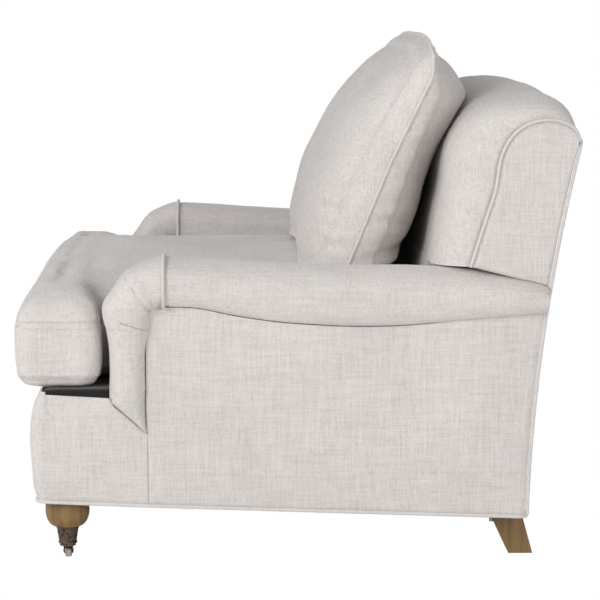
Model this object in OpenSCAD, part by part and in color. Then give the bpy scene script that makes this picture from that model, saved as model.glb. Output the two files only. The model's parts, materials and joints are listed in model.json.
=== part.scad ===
// Two-seat sofa with low rolled arms, a T-shaped seat cushion and one loose back cushion.
// Millimetres. +Z is up, the front faces -Y, and the sitter's left arm is at +X.

/* [Width] */
// Width of the seat between the arms
seat_w = 1000; // [860:10:1300]
// Thickness of an arm, from the seat to its outer side
arm_t = 122; // [112:1:150]
// Width of the padded roll on an arm
roll_w = 135; // [125:1:145]
// Distance that the roll stands out past the outer side
roll_proud = 28; // [18:1:32]
// Thickness of the padded outer covering
panel_t = 10; // [8:1:14]

/* [Depth] */
// Overall depth, from the seat cushion's front to the welt on top of the back
sofa_d = 964; // [900:1:1040]
// Distance that the seat cushion stands out past the front border
cushion_proud = 22; // [10:1:32]
// Thickness of the padding on the front border
border_t = 20; // [14:1:26]
// Length of the cushion's ears in front of the arms
ear_l = 142; // [125:1:165]
// Depth of the padded column that carries the front of an arm
column_d = 64; // [56:1:76]
// Thickness of the whole back, at the middle
back_t = 192; // [180:1:230]
// Distance that the back leans out between its foot and its top edge
back_rake = 86; // [60:1:110]

/* [Height] */
// Height of the base's underside at the front
base_front_h = 109; // [98:1:125]
// Height of the base's underside at the back
base_rear_h = 79; // [66:1:94]
// Height of the seat deck under the cushion
deck_h = 304; // [290:1:330]
// Height of an arm at its front
arm_h = 530; // [515:1:560]
// How much lower an arm is where it meets the back
arm_drop = 50; // [20:1:60]
// Height of the rear top edge of the back
back_edge_h = 724; // [690:1:760]
// Height of the back's padded crown above its rear top edge
back_crown = 94; // [70:1:110]

/* [Cushions] */
// Thickness of the seat cushion at its edges
seat_cushion_t = 185; // [160:1:200]
// Extra height of the seat cushion's crown
seat_crown = 24; // [10:1:30]
// Height of the back cushion
back_cushion_h = 388; // [340:1:430]
// Distance that the back cushion swells forward of its seam
back_cushion_front = 117; // [90:1:125]
// Distance that the back cushion swells backward of its seam
back_cushion_rear = 88; // [70:1:92]
// Diameter of the welts
welt_d = 9; // [6:0.5:10]

/* [Frame] */
// Thickness of the hardwood rails
rail_t = 25; // [20:1:30]
// Width of the hardwood posts
post_w = 42; // [35:1:50]
// Depth of the arm posts
arm_post_d = 38; // [30:1:44]
// Depth of the back posts
back_post_d = 65; // [50:1:70]
// Height of the back's top rail
top_rail_h = 70; // [50:1:90]

/* [Springs] */
// Number of seat springs
spring_n = 6; // [4:1:8]
// Diameter of the spring wire
wire_d = 4; // [3:0.2:4.4]
// Distance between the runs of a spring
spring_pitch = 42; // [36:1:50]
// Width of a spring's straight runs
spring_run = 28; // [20:1:40]

/* [Legs and casters] */
// Largest diameter of the turned front legs
bun_d = 76; // [64:1:84]
// Width of the rear legs, seen from behind
rear_leg_w = 46; // [36:1:54]
// Diameter of the caster wheels
wheel_d = 22; // [20:0.5:23]
// Width of the caster wheels
wheel_w = 11; // [8:0.5:13]
// Distance of the wheel's axle from the swivel axis
caster_trail = 14; // [8:0.5:16]
// Largest diameter of the caster cups
cup_d = 38; // [34:0.5:42]

/* [Hidden] */

// Colours
linen = "#d3cac1";
welt_linen = "#dcd4cb";
hardwood = "#c9a878";
leg_oak = "#7d6544";
steel = "silver";
nickel = "#b9b6b0";
pewter = "#5d4f48";
jute = "#b79a6a";
cambric = "#2b2b2d";

// Clearances and overruns
gap = 0.4;
bore_gap = 0.1;
overrun = 1;

// Widths from the middle to the outside
seat_x = seat_w / 2;
side_x = seat_x + arm_t;
frame_x = side_x - panel_t;
post_x1 = frame_x - rail_t;
post_x0 = post_x1 - post_w;
roll_tuck = 4;
roll_rail_x = frame_x - roll_tuck;
roll_x1 = side_x + roll_proud;
roll_x0 = roll_x1 - roll_w;
roll_x = roll_x1 - roll_w / 2;

// Places along the depth
welt_r = welt_d / 2;
front_y = -sofa_d / 2;
border_y = front_y + cushion_proud;
rail_y = border_y + border_t;
rail_in_y = rail_y + rail_t;
ear_back_y = front_y + ear_l;
ear_gap = 16;
seam_y = ear_back_y + ear_gap + column_d;
bend_neck = 28;
roll_y = seam_y + bend_neck;
foot_y = sofa_d / 2 - welt_d - back_rake;

// Heights
cover_t = 1.5;
deck_t = 16;
spring_cover_t = 2;
rail_top_h = deck_h - deck_t;
roll_h = 100;
roll_seat_h = arm_h - roll_h;

// The back's rear face: its place at a height, and a band of the side view along it
rake_belly_share = 0.2;
band_n = 9;
function lerp(a, b, t) = a + (b - a) * t;
function rear_y(z) =
    let (s = (z - base_rear_h) / (back_edge_h - base_rear_h))
    foot_y + back_rake * (s * s + rake_belly_share * s * (1 - s));
function rear_line(z0, z1, d, n = band_n) =
    [for (i = [0 : n]) let (z = lerp(z0, z1, i / n)) [rear_y(z) - d, z]];
function turned(list) = [for (i = [len(list) - 1 : -1 : 0]) list[i]];
function band(z0, z1, d0, d1, n = band_n) =
    concat(rear_line(z0, z1, d1, n), turned(rear_line(z0, z1, d0, n)));

// The base's sloping underside
function base_z(y) = lerp(base_front_h, base_rear_h, (y - border_y) / (foot_y - border_y));
base_slope = atan2(base_front_h - base_rear_h, foot_y - border_y);
inside_z = base_z(foot_y - panel_t - back_post_d) + cover_t;

// A side view drawn in Y and Z, made solid from x0 to x1
module along_x(x0, x1) {
    translate([x0, 0, 0]) rotate([90, 0, 90]) linear_extrude(x1 - x0) children();
}

// The left side as drawn, the right side as its mirror image
module on_side(side) {
    if (side > 0) children();
    else mirror([1, 0, 0]) children();
}

// A closed skin over rings of points that turn right-handed about the way they are stacked
module loft(rings, closed = false) {
    n = len(rings[0]);
    m = len(rings);
    spans = closed ? m : m - 1;
    points = [for (ring = rings) each ring];
    walls = [for (i = [0 : spans - 1], j = [0 : n - 1])
        let (a = i * n + j, b = i * n + (j + 1) % n, k = (i + 1) % m)
        let (c = k * n + (j + 1) % n, d = k * n + j)
        each [[a, c, b], [a, d, c]]];
    h = n / 2;
    last = (m - 1) * n;
    caps = closed ? [] : [for (j = [0 : h - 2])
        let (a = j, b = j + 1, c = n - 2 - j, d = n - 1 - j)
        each [[a, b, c], [a, c, d], [last + a, last + c, last + b], [last + a, last + d, last + c]]];
    polyhedron(points, [for (f = concat(walls, caps)) if (f[0] != f[1] && f[1] != f[2] && f[0] != f[2]) f]);
}

// A round tube along a route; aim is a direction that the route never takes
function unit(v) = v / norm(v);
function tube_rings(route, r, sides, aim, closed = false) =
    let (m = len(route))
    [for (i = [0 : m - 1])
        let (before = closed ? route[(i + m - 1) % m] : route[max(i - 1, 0)])
        let (after = closed ? route[(i + 1) % m] : route[min(i + 1, m - 1)])
        let (t = unit(after - before), a = unit(cross(aim, t)), b = cross(t, a))
        [for (j = [0 : sides - 1])
            let (turn = 360 * (j + 0.5) / sides)
            route[i] + r * (cos(turn) * a + sin(turn) * b)]];
module welt(route, sides, aim, closed = false) {
    loft(tube_rings(route, welt_r, sides, aim, closed), closed);
}

// A rectangle with round corners and sides drawn in at their middles
corner_n = 4;
side_shares = [-0.5, 0, 0.5];
function pillow_ring(a, b, r, draw, z, y0, lift) =
    let (corner = [[a - r, b - r, 0], [r - a, b - r, 90], [r - a, r - b, 180], [a - r, r - b, 270]])
    let (long = [for (s = side_shares) [-s * (a - r), b - draw * (1 - s * s)]])
    let (middle = [long, [[draw - a, 0]], -long, [[a - draw, 0]]])
    let (flat = [for (k = [0 : 3])
        each concat(
            [for (i = [0 : corner_n])
                let (turn = corner[k][2] + 90 * i / corner_n)
                [corner[k][0] + r * cos(turn), corner[k][1] + r * sin(turn)]],
            middle[k])])
    [for (p = flat) [p[0], y0 + p[1], z + lift * (1 - pow(p[0] / a, 2))]];
module pillow(a, b, r, draw, y0, z0, profile) {
    loft([for (p = profile)
        let (inset = p[0])
        pillow_ring(a - inset, b - inset, max(r - inset / 2, r / 4), draw, z0 + p[1], y0, p[2])]);
}

// Hardwood frame
module front_rail() {
    color(hardwood) along_x(border_corner - frame_x, frame_x - border_corner)
        polygon([[rail_y, base_z(rail_y) + cover_t], [rail_in_y, base_z(rail_in_y) + cover_t],
            [rail_in_y, rail_top_h], [rail_y, rail_top_h]]);
}

module side_rail(side) {
    color(hardwood) on_side(side) along_x(post_x1, frame_x)
        polygon(concat([[rail_in_y, rail_top_h], [rail_in_y, base_z(rail_in_y) + cover_t]],
            rear_line(inside_z, rail_top_h, panel_t)));
}

seat_back_rail_y = rear_y(rail_top_h) - panel_t - back_post_d;
seat_back_rail_h = 100;
module seat_back_rail() {
    color(hardwood) translate([-post_x0, seat_back_rail_y, rail_top_h - seat_back_rail_h])
        cube([2 * post_x0, rail_t, seat_back_rail_h]);
}

back_lower_rail_h = 90;
module back_lower_rail() {
    color(hardwood) along_x(-post_x0, post_x0)
        polygon(band(inside_z, inside_z + back_lower_rail_h, panel_t, panel_t + rail_t));
}

stretcher_w = 45;
stretcher_h = 50;
stretcher_z = rail_top_h - seat_back_rail_h;
module centre_stretcher() {
    color(hardwood) translate([-stretcher_w / 2, rail_in_y, stretcher_z])
        cube([stretcher_w, seat_back_rail_y - rail_in_y, stretcher_h]);
}

// Front blocks stand in the corner of two rails, rear blocks between the post and the lower rail
block_l = 74;
block_h = 46;
block_z = base_z(rail_in_y) + cover_t;
rear_block_l = 58;
rear_block_d = 26;
module corner_blocks() {
    color(hardwood) for (side = [-1, 1]) on_side(side) {
        difference() {
            translate([0, 0, block_z]) linear_extrude(block_h)
                polygon([[post_x1, rail_in_y], [post_x1, rail_in_y + block_l],
                    [post_x1 - block_l, rail_in_y]]);
            leg_bore(front_leg_x, front_leg_y);
        }
        difference() {
            translate([post_x0 - rear_block_l, rear_block_y - rear_block_d, inside_z + base_slope_rise])
                cube([rear_block_l, rear_block_d, block_h]);
            leg_bore(rear_leg_x, rear_bolt_y);
        }
    }
}
rear_block_y = foot_y - panel_t - rail_t;
base_slope_rise = base_z(rear_block_y - rear_block_d) - base_z(foot_y);

module arm_post(side) {
    color(hardwood) on_side(side) translate([post_x0, seam_y - arm_post_d, inside_z_at_post])
        cube([post_w, arm_post_d, roll_seat_h - rail_t - inside_z_at_post]);
}
inside_z_at_post = base_z(seam_y - arm_post_d) + cover_t;

arm_rail_y1 = rear_y(roll_seat_h - rail_t) - panel_t - back_post_d;
module arm_rail(side) {
    color(hardwood) on_side(side)
        translate([post_x0, seam_y - arm_post_d, roll_seat_h - rail_t])
        cube([roll_rail_x - post_x0, arm_rail_y1 - seam_y + arm_post_d, rail_t]);
}

tacking_h = 36;
tacking_t = 30;
tacking_y1 = rear_y(deck_h) - panel_t - back_post_d;
module tacking_rail(side) {
    color(hardwood) on_side(side) translate([post_x0, seam_y, deck_h + tacking_t / 2])
        cube([tacking_t, tacking_y1 - seam_y, tacking_h]);
}

module back_post(side) {
    color(hardwood) on_side(side) along_x(post_x0, post_x1) back_post_outline();
}
module back_post_outline() {
    polygon(band(inside_z, back_edge_h, panel_t, panel_t + back_post_d));
}

back_rail_d = 40;
back_rail_d0 = panel_t + back_post_d - back_rail_d;
back_rail_d1 = panel_t + back_post_d;
stay_rail_z = deck_h + 30;
stay_rail_h = 70;
module back_rail(z0, z1, half_w) {
    color(hardwood) along_x(-half_w, half_w) polygon(band(z0, z1, back_rail_d0, back_rail_d1, 4));
}
module back_top_rail() { back_rail(back_edge_h - top_rail_h, back_edge_h, post_x0); }
module back_stay_rail() { back_rail(stay_rail_z, stay_rail_z + stay_rail_h, post_x0); }
upright_w = 44;
module back_upright() {
    back_rail(stay_rail_z + stay_rail_h, back_edge_h - top_rail_h, upright_w / 2);
}

// Webbing of the back: upright straps from the stay rail to the top rail
strap_n = 8;
strap_w = 60;
strap_t = 2;
strap_lap = 50;
strap_d = back_rail_d1 + gap;
pad_back = strap_d + strap_t + gap;
module back_webbing() {
    step = 2 * seat_x / strap_n;
    color(jute) for (i = [0 : strap_n - 1]) {
        x = (i + 0.5) * step - seat_x;
        along_x(x - strap_w / 2, x + strap_w / 2)
            polygon(band(stay_rail_z + stay_rail_h - strap_lap, back_edge_h - top_rail_h + strap_lap,
                strap_d, strap_d + strap_t, 5));
    }
}

// Seat springs: zigzag wires from clips on the front rail to clips on the rail at the back
clip_t = 2;
clip_w = 18;
clip_h = 16;
clip_r = wire_d / 2 + bore_gap;
spring_z = rail_top_h - clip_r - clip_t;
spring_y0 = rail_in_y + clip_t + clip_r;
spring_room = seat_back_rail_y - rail_in_y - 2 * (clip_t + clip_r);
spring_runs = 2 * floor(spring_room / spring_pitch / 2) + 1;
spring_grain = 0.01;
spring_loop = floor(spring_room / (spring_runs - 1) / 2 / spring_grain) * spring_grain;
spring_l = 2 * spring_loop * (spring_runs - 1);
spring_step = 2 * post_x0 / spring_n;
function spring_x(i) = (i + 0.5) * spring_step - post_x0;

module clip_outline(pad) {
    difference() {
        union() {
            circle(r = clip_r + clip_t, $fn = 32);
            translate([-clip_r - clip_t - pad, -clip_h]) square([clip_t + pad, clip_h]);
        }
        circle(r = clip_r, $fn = 32);
    }
}
module spring_clips() {
    color(steel) for (i = [0 : spring_n - 1]) translate([spring_x(i) - clip_w / 2, 0, 0]) {
        translate([0, spring_y0, spring_z]) rotate([90, 0, 90]) linear_extrude(clip_w) clip_outline(0);
        translate([0, spring_y0 + spring_l, spring_z]) rotate([90, 0, 90])
            linear_extrude(clip_w) mirror([1, 0]) clip_outline(spring_room - spring_l);
    }
}

module spring() {
    for (k = [0 : spring_runs - 1]) translate([0, 2 * k * spring_loop, 0]) {
        translate([-spring_run / 2, 0, 0]) rotate([0, 90, 0])
            cylinder(d = wire_d, h = spring_run, $fn = 24);
        if (k < spring_runs - 1) translate([(k % 2 == 0 ? 1 : -1) * spring_run / 2, spring_loop, 0])
            rotate([0, 0, k % 2 == 0 ? -90 : 90]) rotate_extrude(angle = 180, $fn = 48)
                translate([spring_loop, 0]) circle(d = wire_d, $fn = 24);
    }
}
module seat_springs() {
    color(steel) for (i = [0 : spring_n - 1]) translate([spring_x(i), spring_y0, spring_z]) spring();
}

// Deck over the springs
deck_y1 = seat_back_rail_y + rail_t;
module spring_cover() {
    color(jute) translate([-post_x0, rail_in_y, rail_top_h])
        cube([2 * post_x0, deck_y1 - rail_in_y, spring_cover_t]);
}
module deck_pad() {
    ear_y = seam_y - arm_post_d;
    color(linen) {
        translate([0, 0, rail_top_h + spring_cover_t]) linear_extrude(deck_t - spring_cover_t)
            polygon([[-post_x0, rail_in_y], [post_x0, rail_in_y], [post_x0, deck_y1], [-post_x0, deck_y1]]);
        translate([0, 0, rail_top_h]) linear_extrude(deck_t)
            difference() {
                polygon([[-frame_x, rail_y + border_corner], [border_corner - frame_x, rail_y],
                    [frame_x - border_corner, rail_y], [frame_x, rail_y + border_corner],
                    [frame_x, ear_y], [-frame_x, ear_y]]);
                translate([-post_x0, rail_in_y]) square([2 * post_x0, ear_y - rail_in_y + overrun]);
            }
    }
}

// Pads inside the arms
module inner_arm(side) {
    color(linen) on_side(side) along_x(seat_x, post_x0)
        polygon(concat([[seam_y, roll_seat_h], [seam_y, deck_h]], rear_line(deck_h, roll_seat_h, pad_back, 4)));
}

// Padded roll of an arm. Its section is drawn in X and Z at a place along the depth
roll_l = rear_y(roll_seat_h) - roll_y;
roll_drop_shares = [[0, 0], [0.35, 0.28], [0.78, 0.5], [0.92, 0.8], [1, 1]];
roll_under_shares = [[0, 0], [0.09, 0.06], [0.18, 0.41], [0.3, 0.76], [0.4, 0.91], [0.53, 1],
    [0.64, 0.94], [0.78, 0.68], [0.91, 0.47], [1, 0.38]];
roll_lip = 84;
roll_sag = 34;
roll_inner_ease = 3;
roll_station_n = 12;
roll_arc_n = 8;
function roll_top(y) = arm_h - arm_drop * lookup((y - roll_y) / roll_l, roll_drop_shares);
function roll_under(y) =
    arm_h - roll_lip - roll_sag * lookup((y - roll_y) / roll_l, roll_under_shares);
function roll_mid(y) = (roll_top(y) + roll_under(y)) / 2;
function roll_section(y, grow) =
    let (top = roll_top(y) + grow, under = roll_under(y) - grow, mid = roll_mid(y))
    let (half_w = roll_w / 2 + grow, lip_x = side_x + roll_inner_ease)
    concat(
        [[seat_x + roll_inner_ease, roll_seat_h + (grow == 0 ? 0 : grow)],
            [(seat_x + roll_x0) / 2 - grow, lerp(roll_seat_h, mid, 0.5)]],
        [for (i = [0 : roll_arc_n]) let (a = 180 - 180 * i / roll_arc_n)
            [roll_x + half_w * cos(a), mid + (top - mid) * sin(a)]],
        [for (a = [30, 60, 90])
            [lerp(lip_x, roll_x + half_w, cos(a)), lerp(mid, under, sin(a))]],
        [[roll_rail_x, under], [roll_rail_x, roll_seat_h]]);
module arm_roll(side) {
    color(linen) on_side(side) difference() {
        loft([for (i = [0 : roll_station_n])
            let (share = i / roll_station_n, y = roll_y + share * roll_l)
            [for (p = roll_section(y, 0))
                [p[0], i < roll_station_n ? min(y, rear_y(roll_seat_h) - roll_l * 0.02) : rear_y(p[1]), p[1]]]]);
        along_x(post_x0, post_x1) back_post_outline();
        outside_back_solid();
    }
}

// Pleated front of an arm: a quarter bend about a pivot, then a column down to the deck
bend_lift = 6;
bend_pivot_h = roll_seat_h + bend_lift;
column_front_y = ear_back_y + ear_gap;
column_swell = 12;
bend_front_y = column_front_y - column_swell;
column_waist_w = 116;
bend_n = 5;
bend_core = 5;
front_n = 10;
column_shares = [[0, 1], [0.25, 0.45], [0.5, 0.1], [0.8, 0], [1, 0.1]];
function oval(u, v, power) = [for (j = [0 : 2 * front_n - 1])
    let (turn = 360 * (j + 0.5) / (2 * front_n), c = cos(turn), s = sin(turn))
    [u * sign(c) * pow(abs(c), power), v * sign(s) * pow(abs(s), power)]];
bend_power_share = 0.75;
function bend_ring(turn) =
    let (reach = lerp(arm_h - bend_pivot_h, seam_y - bend_front_y, turn / 90))
    let (half = (reach - bend_core) / 2, mid = (reach + bend_core) / 2)
    [for (p = oval(half, roll_w / 2, bend_power_share))
        [roll_x - p[1], seam_y - (mid + p[0]) * sin(turn), bend_pivot_h + (mid + p[0]) * cos(turn)]];
function neck_ring(y) = [for (p = bend_ring(0)) [p[0], y, p[2]]];
function column_ring(share) =
    let (z = lerp(bend_pivot_h, deck_h + gap, share), s = lookup(share, column_shares))
    let (front = column_front_y - s * column_swell, half = (seam_y - bend_core * s - front) / 2)
    let (half_w = lerp(column_waist_w, roll_w, s) / 2)
    [for (p = oval(half, half_w, bend_power_share)) [roll_x - p[1], front + half - p[0], z]];
module arm_front(side) {
    color(linen) on_side(side) difference() {
        union() {
            loft(concat([neck_ring(roll_y)], [for (i = [0 : bend_n]) bend_ring(90 * i / bend_n)],
                [for (s = [0.12, 0.25, 0.5, 0.8, 1]) column_ring(s)]));
            along_x(frame_x, side_x) polygon([[column_front_y, deck_h + overrun],
                [column_front_y, border_side_h], [seam_y, border_low_h], [seam_y, deck_h + overrun]]);
        }
        translate([post_x0, seam_y - arm_post_d, 0]) cube([post_w, arm_post_d + overrun, roll_seat_h]);
        translate([post_x0, seam_y - arm_post_d, roll_seat_h - rail_t])
            cube([roll_rail_x - post_x0, arm_post_d + overrun, rail_t]);
    }
}

// Welt where the roll meets its pleated front
module arm_welt(side) {
    color(welt_linen) on_side(side)
        welt([for (i = [1 : roll_arc_n + 5]) let (p = roll_section(roll_y, welt_r + 2 * gap)[i])
            [p[0], roll_y + welt_r, p[1]]], 6, [0, 1, 0]);
}

// Outer covering of an arm below the roll
module side_panel(side) {
    stations = [for (i = [0 : roll_station_n]) roll_y + roll_l * i / roll_station_n];
    color(linen) on_side(side) along_x(frame_x, side_x)
        polygon(concat([[seam_y + gap, base_z(seam_y)]],
            rear_line(base_z(foot_y), roll_under(rear_y(roll_seat_h)), 0),
            [for (i = [roll_station_n - 1 : -1 : 0]) [stations[i], roll_under(stations[i])]],
            [[roll_y - gap, roll_under(roll_y) - welt_r],
                [seam_y + gap, roll_under(roll_y) - welt_r]]));
}

// Padded border round the front of the base, with a return along each side
border_corner = 8;
border_side_h = 281;
border_low_h = 227;
border_crest = 4;
border_step_share = [0, 0.1, 0.28, 0.6, 0.76, 0.87, 0.96, 1];
border_swell_share = [0.25, 0.65, 0.85, 1, 0.9, 0.7, 0.35, 0.05];
border_seam_share = 0.8;
function border_ring(x, y, turn, t, flat, top) =
    let (bottom = base_z(y), n = len(border_step_share))
    let (out = [for (k = [0 : n - 1]) let (d = t * lerp(border_swell_share[k], 1, flat * border_seam_share))
        [x + d * cos(turn), y + d * sin(turn), lerp(bottom, top, border_step_share[k])]])
    concat([[x, y, bottom]], out, [[x, y, top]]);
module front_border() {
    x = frame_x;
    side = [for (i = [0 : 4]) let (s = i / 4)
        let (y = lerp(seam_y, rail_y + border_corner, s))
        border_ring(x, y, 0, panel_t, 1 - s,
            y < column_front_y ? border_side_h + border_crest + panel_t * s
                : lerp(border_low_h, border_side_h, (seam_y - y) / (seam_y - column_front_y)))];
    corner = [for (i = [1 : 4]) let (turn = -90 * i / 4)
        border_ring(x - border_corner + border_corner * cos(turn),
            rail_y + border_corner + border_corner * sin(turn), turn,
            lerp(panel_t, border_t, i / 4), 0, deck_h - border_crest)];
    near = concat(side, corner);
    far = [for (ring = turned(near)) [for (p = ring) [-p[0], p[1], p[2]]]];
    color(linen) loft(concat(near, far));
}

// The back's padding: a raked slab whose top and ends roll over
end_r = 68;
end_inset = 54;
end_drop = 46;
crown_drop = 15;
top_back = 75;
end_top_back = 52;
shoulder_share = 0.51;
pad_split_h = ceil(roll_top(rear_y(arm_h) - back_t) + gap);
shoulder_h = lerp(pad_split_h, back_edge_h + back_crown, shoulder_share) - end_drop * shoulder_share;
back_curve = 0.85;
straight_n = 2;
front_curve_n = 5;
rear_curve_n = 3;
function back_front(thick, top, reach) =
    let (crest_y = rear_y(back_edge_h) - reach, shoulder_y = rear_y(shoulder_h) - thick)
    concat(
        rear_line(pad_split_h, shoulder_h, thick, straight_n),
        [for (i = [1 : front_curve_n]) let (a = 90 * i / front_curve_n)
            [crest_y - (crest_y - shoulder_y) * pow(cos(a) + 1e-9, back_curve),
                lerp(shoulder_h, top, pow(sin(a), back_curve))]],
        [for (i = [1 : rear_curve_n]) let (a = 90 * i / rear_curve_n)
            [crest_y + reach * sin(a), lerp(back_edge_h, top, cos(a))]]);
function back_ring(x) =
    let (q = max(0, (abs(x) - frame_x + end_r) / end_r), e = 1 - sqrt(1 - q * q))
    let (top = back_edge_h + back_crown - crown_drop * pow(x / frame_x, 2) - end_drop * e)
    let (front = back_front(back_t - end_inset * e, top, lerp(top_back, end_top_back, e)))
    let (rear = concat([[rear_y(back_edge_h) - pad_back / 3, back_edge_h],
        [rear_y(back_edge_h) - 2 * pad_back / 3, back_edge_h]],
        turned(rear_line(pad_split_h, back_edge_h, pad_back, len(front) - 3))))
    [for (p = turned(concat(front, rear))) [x, p[0], p[1]]];
back_station_shares = [0.3, 0.65, 0.84, 0.92, 0.97, 1];
module inner_back() {
    low_w = seat_x - gap;
    color(linen) {
        loft(concat(
            [for (s = turned(back_station_shares)) back_ring(-s * frame_x)],
            [for (s = back_station_shares) back_ring(s * frame_x)]));
        along_x(-low_w, low_w) polygon(concat(
            rear_line(deck_h, pad_split_h + overrun, back_t - gap, straight_n + 1),
            turned(rear_line(deck_h, pad_split_h + overrun, pad_back + gap, straight_n + 1))));
    }
}

// Side face of the back above the arm
side_front = back_front(back_t - end_inset, back_edge_h + back_crown - crown_drop - end_drop, end_top_back);
function roll_cap(y) = lerp(roll_mid(y), roll_top(y), roll_cap_share) + gap;
roll_cap_share = sqrt(1 - pow((frame_x - roll_x) / (roll_w / 2), 2));
side_foot_y0 = side_front[0][0];
side_foot_y1 = rear_y(roll_seat_h + roll_h / 2);
module back_side(side) {
    color(linen) on_side(side) along_x(frame_x, side_x)
        polygon(concat(side_front,
            turned(rear_line(roll_cap(side_foot_y1), back_edge_h, 0, 6)),
            [for (i = [3 : -1 : 0]) let (y = lerp(side_foot_y0, side_foot_y1, i / 4)) [y, roll_cap(y)]]));
}

welt_x = side_x - panel_t / 2;
module back_side_welt(side) {
    route = back_front(back_t - end_inset + welt_r + gap / 2,
        back_edge_h + back_crown - crown_drop - end_drop + welt_r + gap / 2, end_top_back);
    color(welt_linen) on_side(side)
        welt([for (i = [0 : len(route) - 3]) [welt_x, route[i][0], route[i][1] + (i == 0 ? welt_r : 0)]],
            6, [1, 0, 0]);
}

// Rear covering, and the welt round its edges
module outside_back_solid() {
    along_x(-frame_x, frame_x) polygon(band(base_z(foot_y - panel_t), back_edge_h, 0, panel_t - gap / 2));
}
module outside_back() {
    color(linen) outside_back_solid();
}
back_welt_n = 9;
module back_welt() {
    r = welt_r + gap / 2;
    up = [for (p = rear_line(base_rear_h + 2 * welt_d, back_edge_h - welt_r, -r, back_welt_n))
        [welt_x, p[0], p[1]]];
    over = [[welt_x - welt_d, rear_y(back_edge_h) + r, back_edge_h],
        [0, rear_y(back_edge_h) + r, back_edge_h]];
    half = concat(up, over);
    color(welt_linen)
        welt(concat(half, [for (i = [len(half) - 2 : -1 : 0]) [-half[i][0], half[i][1], half[i][2]]]),
            6, [0, 1, 0.2]);
}

// Welt round the foot of the base
base_welt_share = 0.4;
module base_welt() {
    r = welt_r + gap / 2;
    corner_y = rail_y + border_corner;
    corner = [for (i = [0 : 4])
        let (out = border_corner + r + base_welt_share * lerp(panel_t, border_t, i / 4))
        let (x = frame_x - border_corner + out * cos(90 * i / 4), y = corner_y - out * sin(90 * i / 4))
            [x, y, base_z(max(y, rail_y)) + welt_r]];
    half = concat([
        [side_x + r, foot_y, base_z(foot_y) + welt_r],
        [side_x + r, seam_y, base_z(seam_y) + welt_r]], corner);
    rear = [[-side_x, foot_y + r, base_z(foot_y) + welt_r], [side_x, foot_y + r, base_z(foot_y) + welt_r]];
    color(welt_linen)
        welt(concat(half, [for (i = [len(half) - 1 : -1 : 0]) [-half[i][0], half[i][1], half[i][2]]], rear),
            6, [0, 0, 1], true);
}

// Cloth under the base
module dust_cover() {
    y0 = rail_y;
    y1 = foot_y - panel_t;
    color(cambric) difference() {
        along_x(-frame_x + border_corner, frame_x - border_corner)
            polygon([[y0, base_z(y0)], [y1, base_z(y1)], [y1, base_z(y1) + cover_t],
                [y0, base_z(y0) + cover_t]]);
        for (side = [-1, 1]) on_side(side) {
            leg_bore(front_leg_x, front_leg_y);
            leg_bore(rear_leg_x, rear_bolt_y);
        }
    }
}

// Bolts from the corner blocks into the legs
bolt_d = 8;
bolt_down = 28;
bolt_head_d = 20;
bolt_head_t = 3;
module leg_bore(x, y) {
    translate([x, y, 0]) cylinder(d = bolt_d + 2 * bore_gap, h = deck_h, $fn = 32);
}
module leg_bolt(x, y, top) {
    low = base_z(y) - bolt_down;
    translate([x, y, 0]) rotate_extrude($fn = 32)
        polygon([[0, low], [bolt_d / 2, low], [bolt_d / 2, top], [bolt_head_d / 2, top],
            [bolt_head_d / 2, top + bolt_head_t], [0, top + bolt_head_t]]);
}
module leg_bolts() {
    color(steel) for (side = [-1, 1]) on_side(side) {
        leg_bolt(front_leg_x, front_leg_y, block_z + block_h);
        leg_bolt(rear_leg_x, rear_bolt_y, inside_z + base_slope_rise + block_h);
    }
}

// Turned front legs: a bun over a small foot that stands in the caster's cup
front_leg_in = 62;
front_leg_x = side_x - front_leg_in;
leg_setback = 59;
front_leg_y = border_y + leg_setback;
leg_top_h = base_front_h + panel_t;
cup_top_h = 58;
bun_lift = 28;
bun_mid_h = cup_top_h + bun_lift;
neck_d = 40;
bun_top_d = 60;
foot_taper = 3;
module below_base() {
    translate([0, foot_y, base_z(foot_y)]) rotate([-base_slope, 0, 0])
        translate([-side_x, -sofa_d, -sofa_d]) cube([2 * side_x, 2 * sofa_d, sofa_d]);
}
module front_leg(side) {
    lower_h = bun_mid_h - cup_top_h;
    upper_h = leg_top_h - bun_mid_h;
    color(leg_oak) on_side(side) difference() {
        intersection() {
            translate([front_leg_x, front_leg_y, 0]) rotate_extrude($fn = 96)
                polygon(concat(
                    [[0, cup_floor_h + cup_wall], [cup_in_low_r, cup_floor_h + cup_wall],
                        [cup_in_top_r, cup_top_h], [neck_d / 2, cup_top_h]],
                    [for (i = [1 : 8]) let (a = 90 * i / 8)
                        [lerp(neck_d, bun_d, sin(a)) / 2, lerp(bun_mid_h, cup_top_h, cos(a))]],
                    [for (i = [1 : 6]) let (a = 90 * i / 6)
                        [lerp(bun_top_d, bun_d, cos(a)) / 2, bun_mid_h + upper_h * sin(a)]],
                    [[0, leg_top_h]]));
            below_base();
        }
        translate([front_leg_x, front_leg_y, base_z(front_leg_y) - bolt_down - overrun])
            cylinder(d = bolt_d + 2 * bore_gap, h = bolt_down + leg_top_h, $fn = 32);
        translate([front_leg_x, front_leg_y, 0])
            cylinder(d = pin_head_d + 2 * gap, h = cup_floor_h + cup_wall + pin_head_t + gap, $fn = 32);
    }
}

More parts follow.
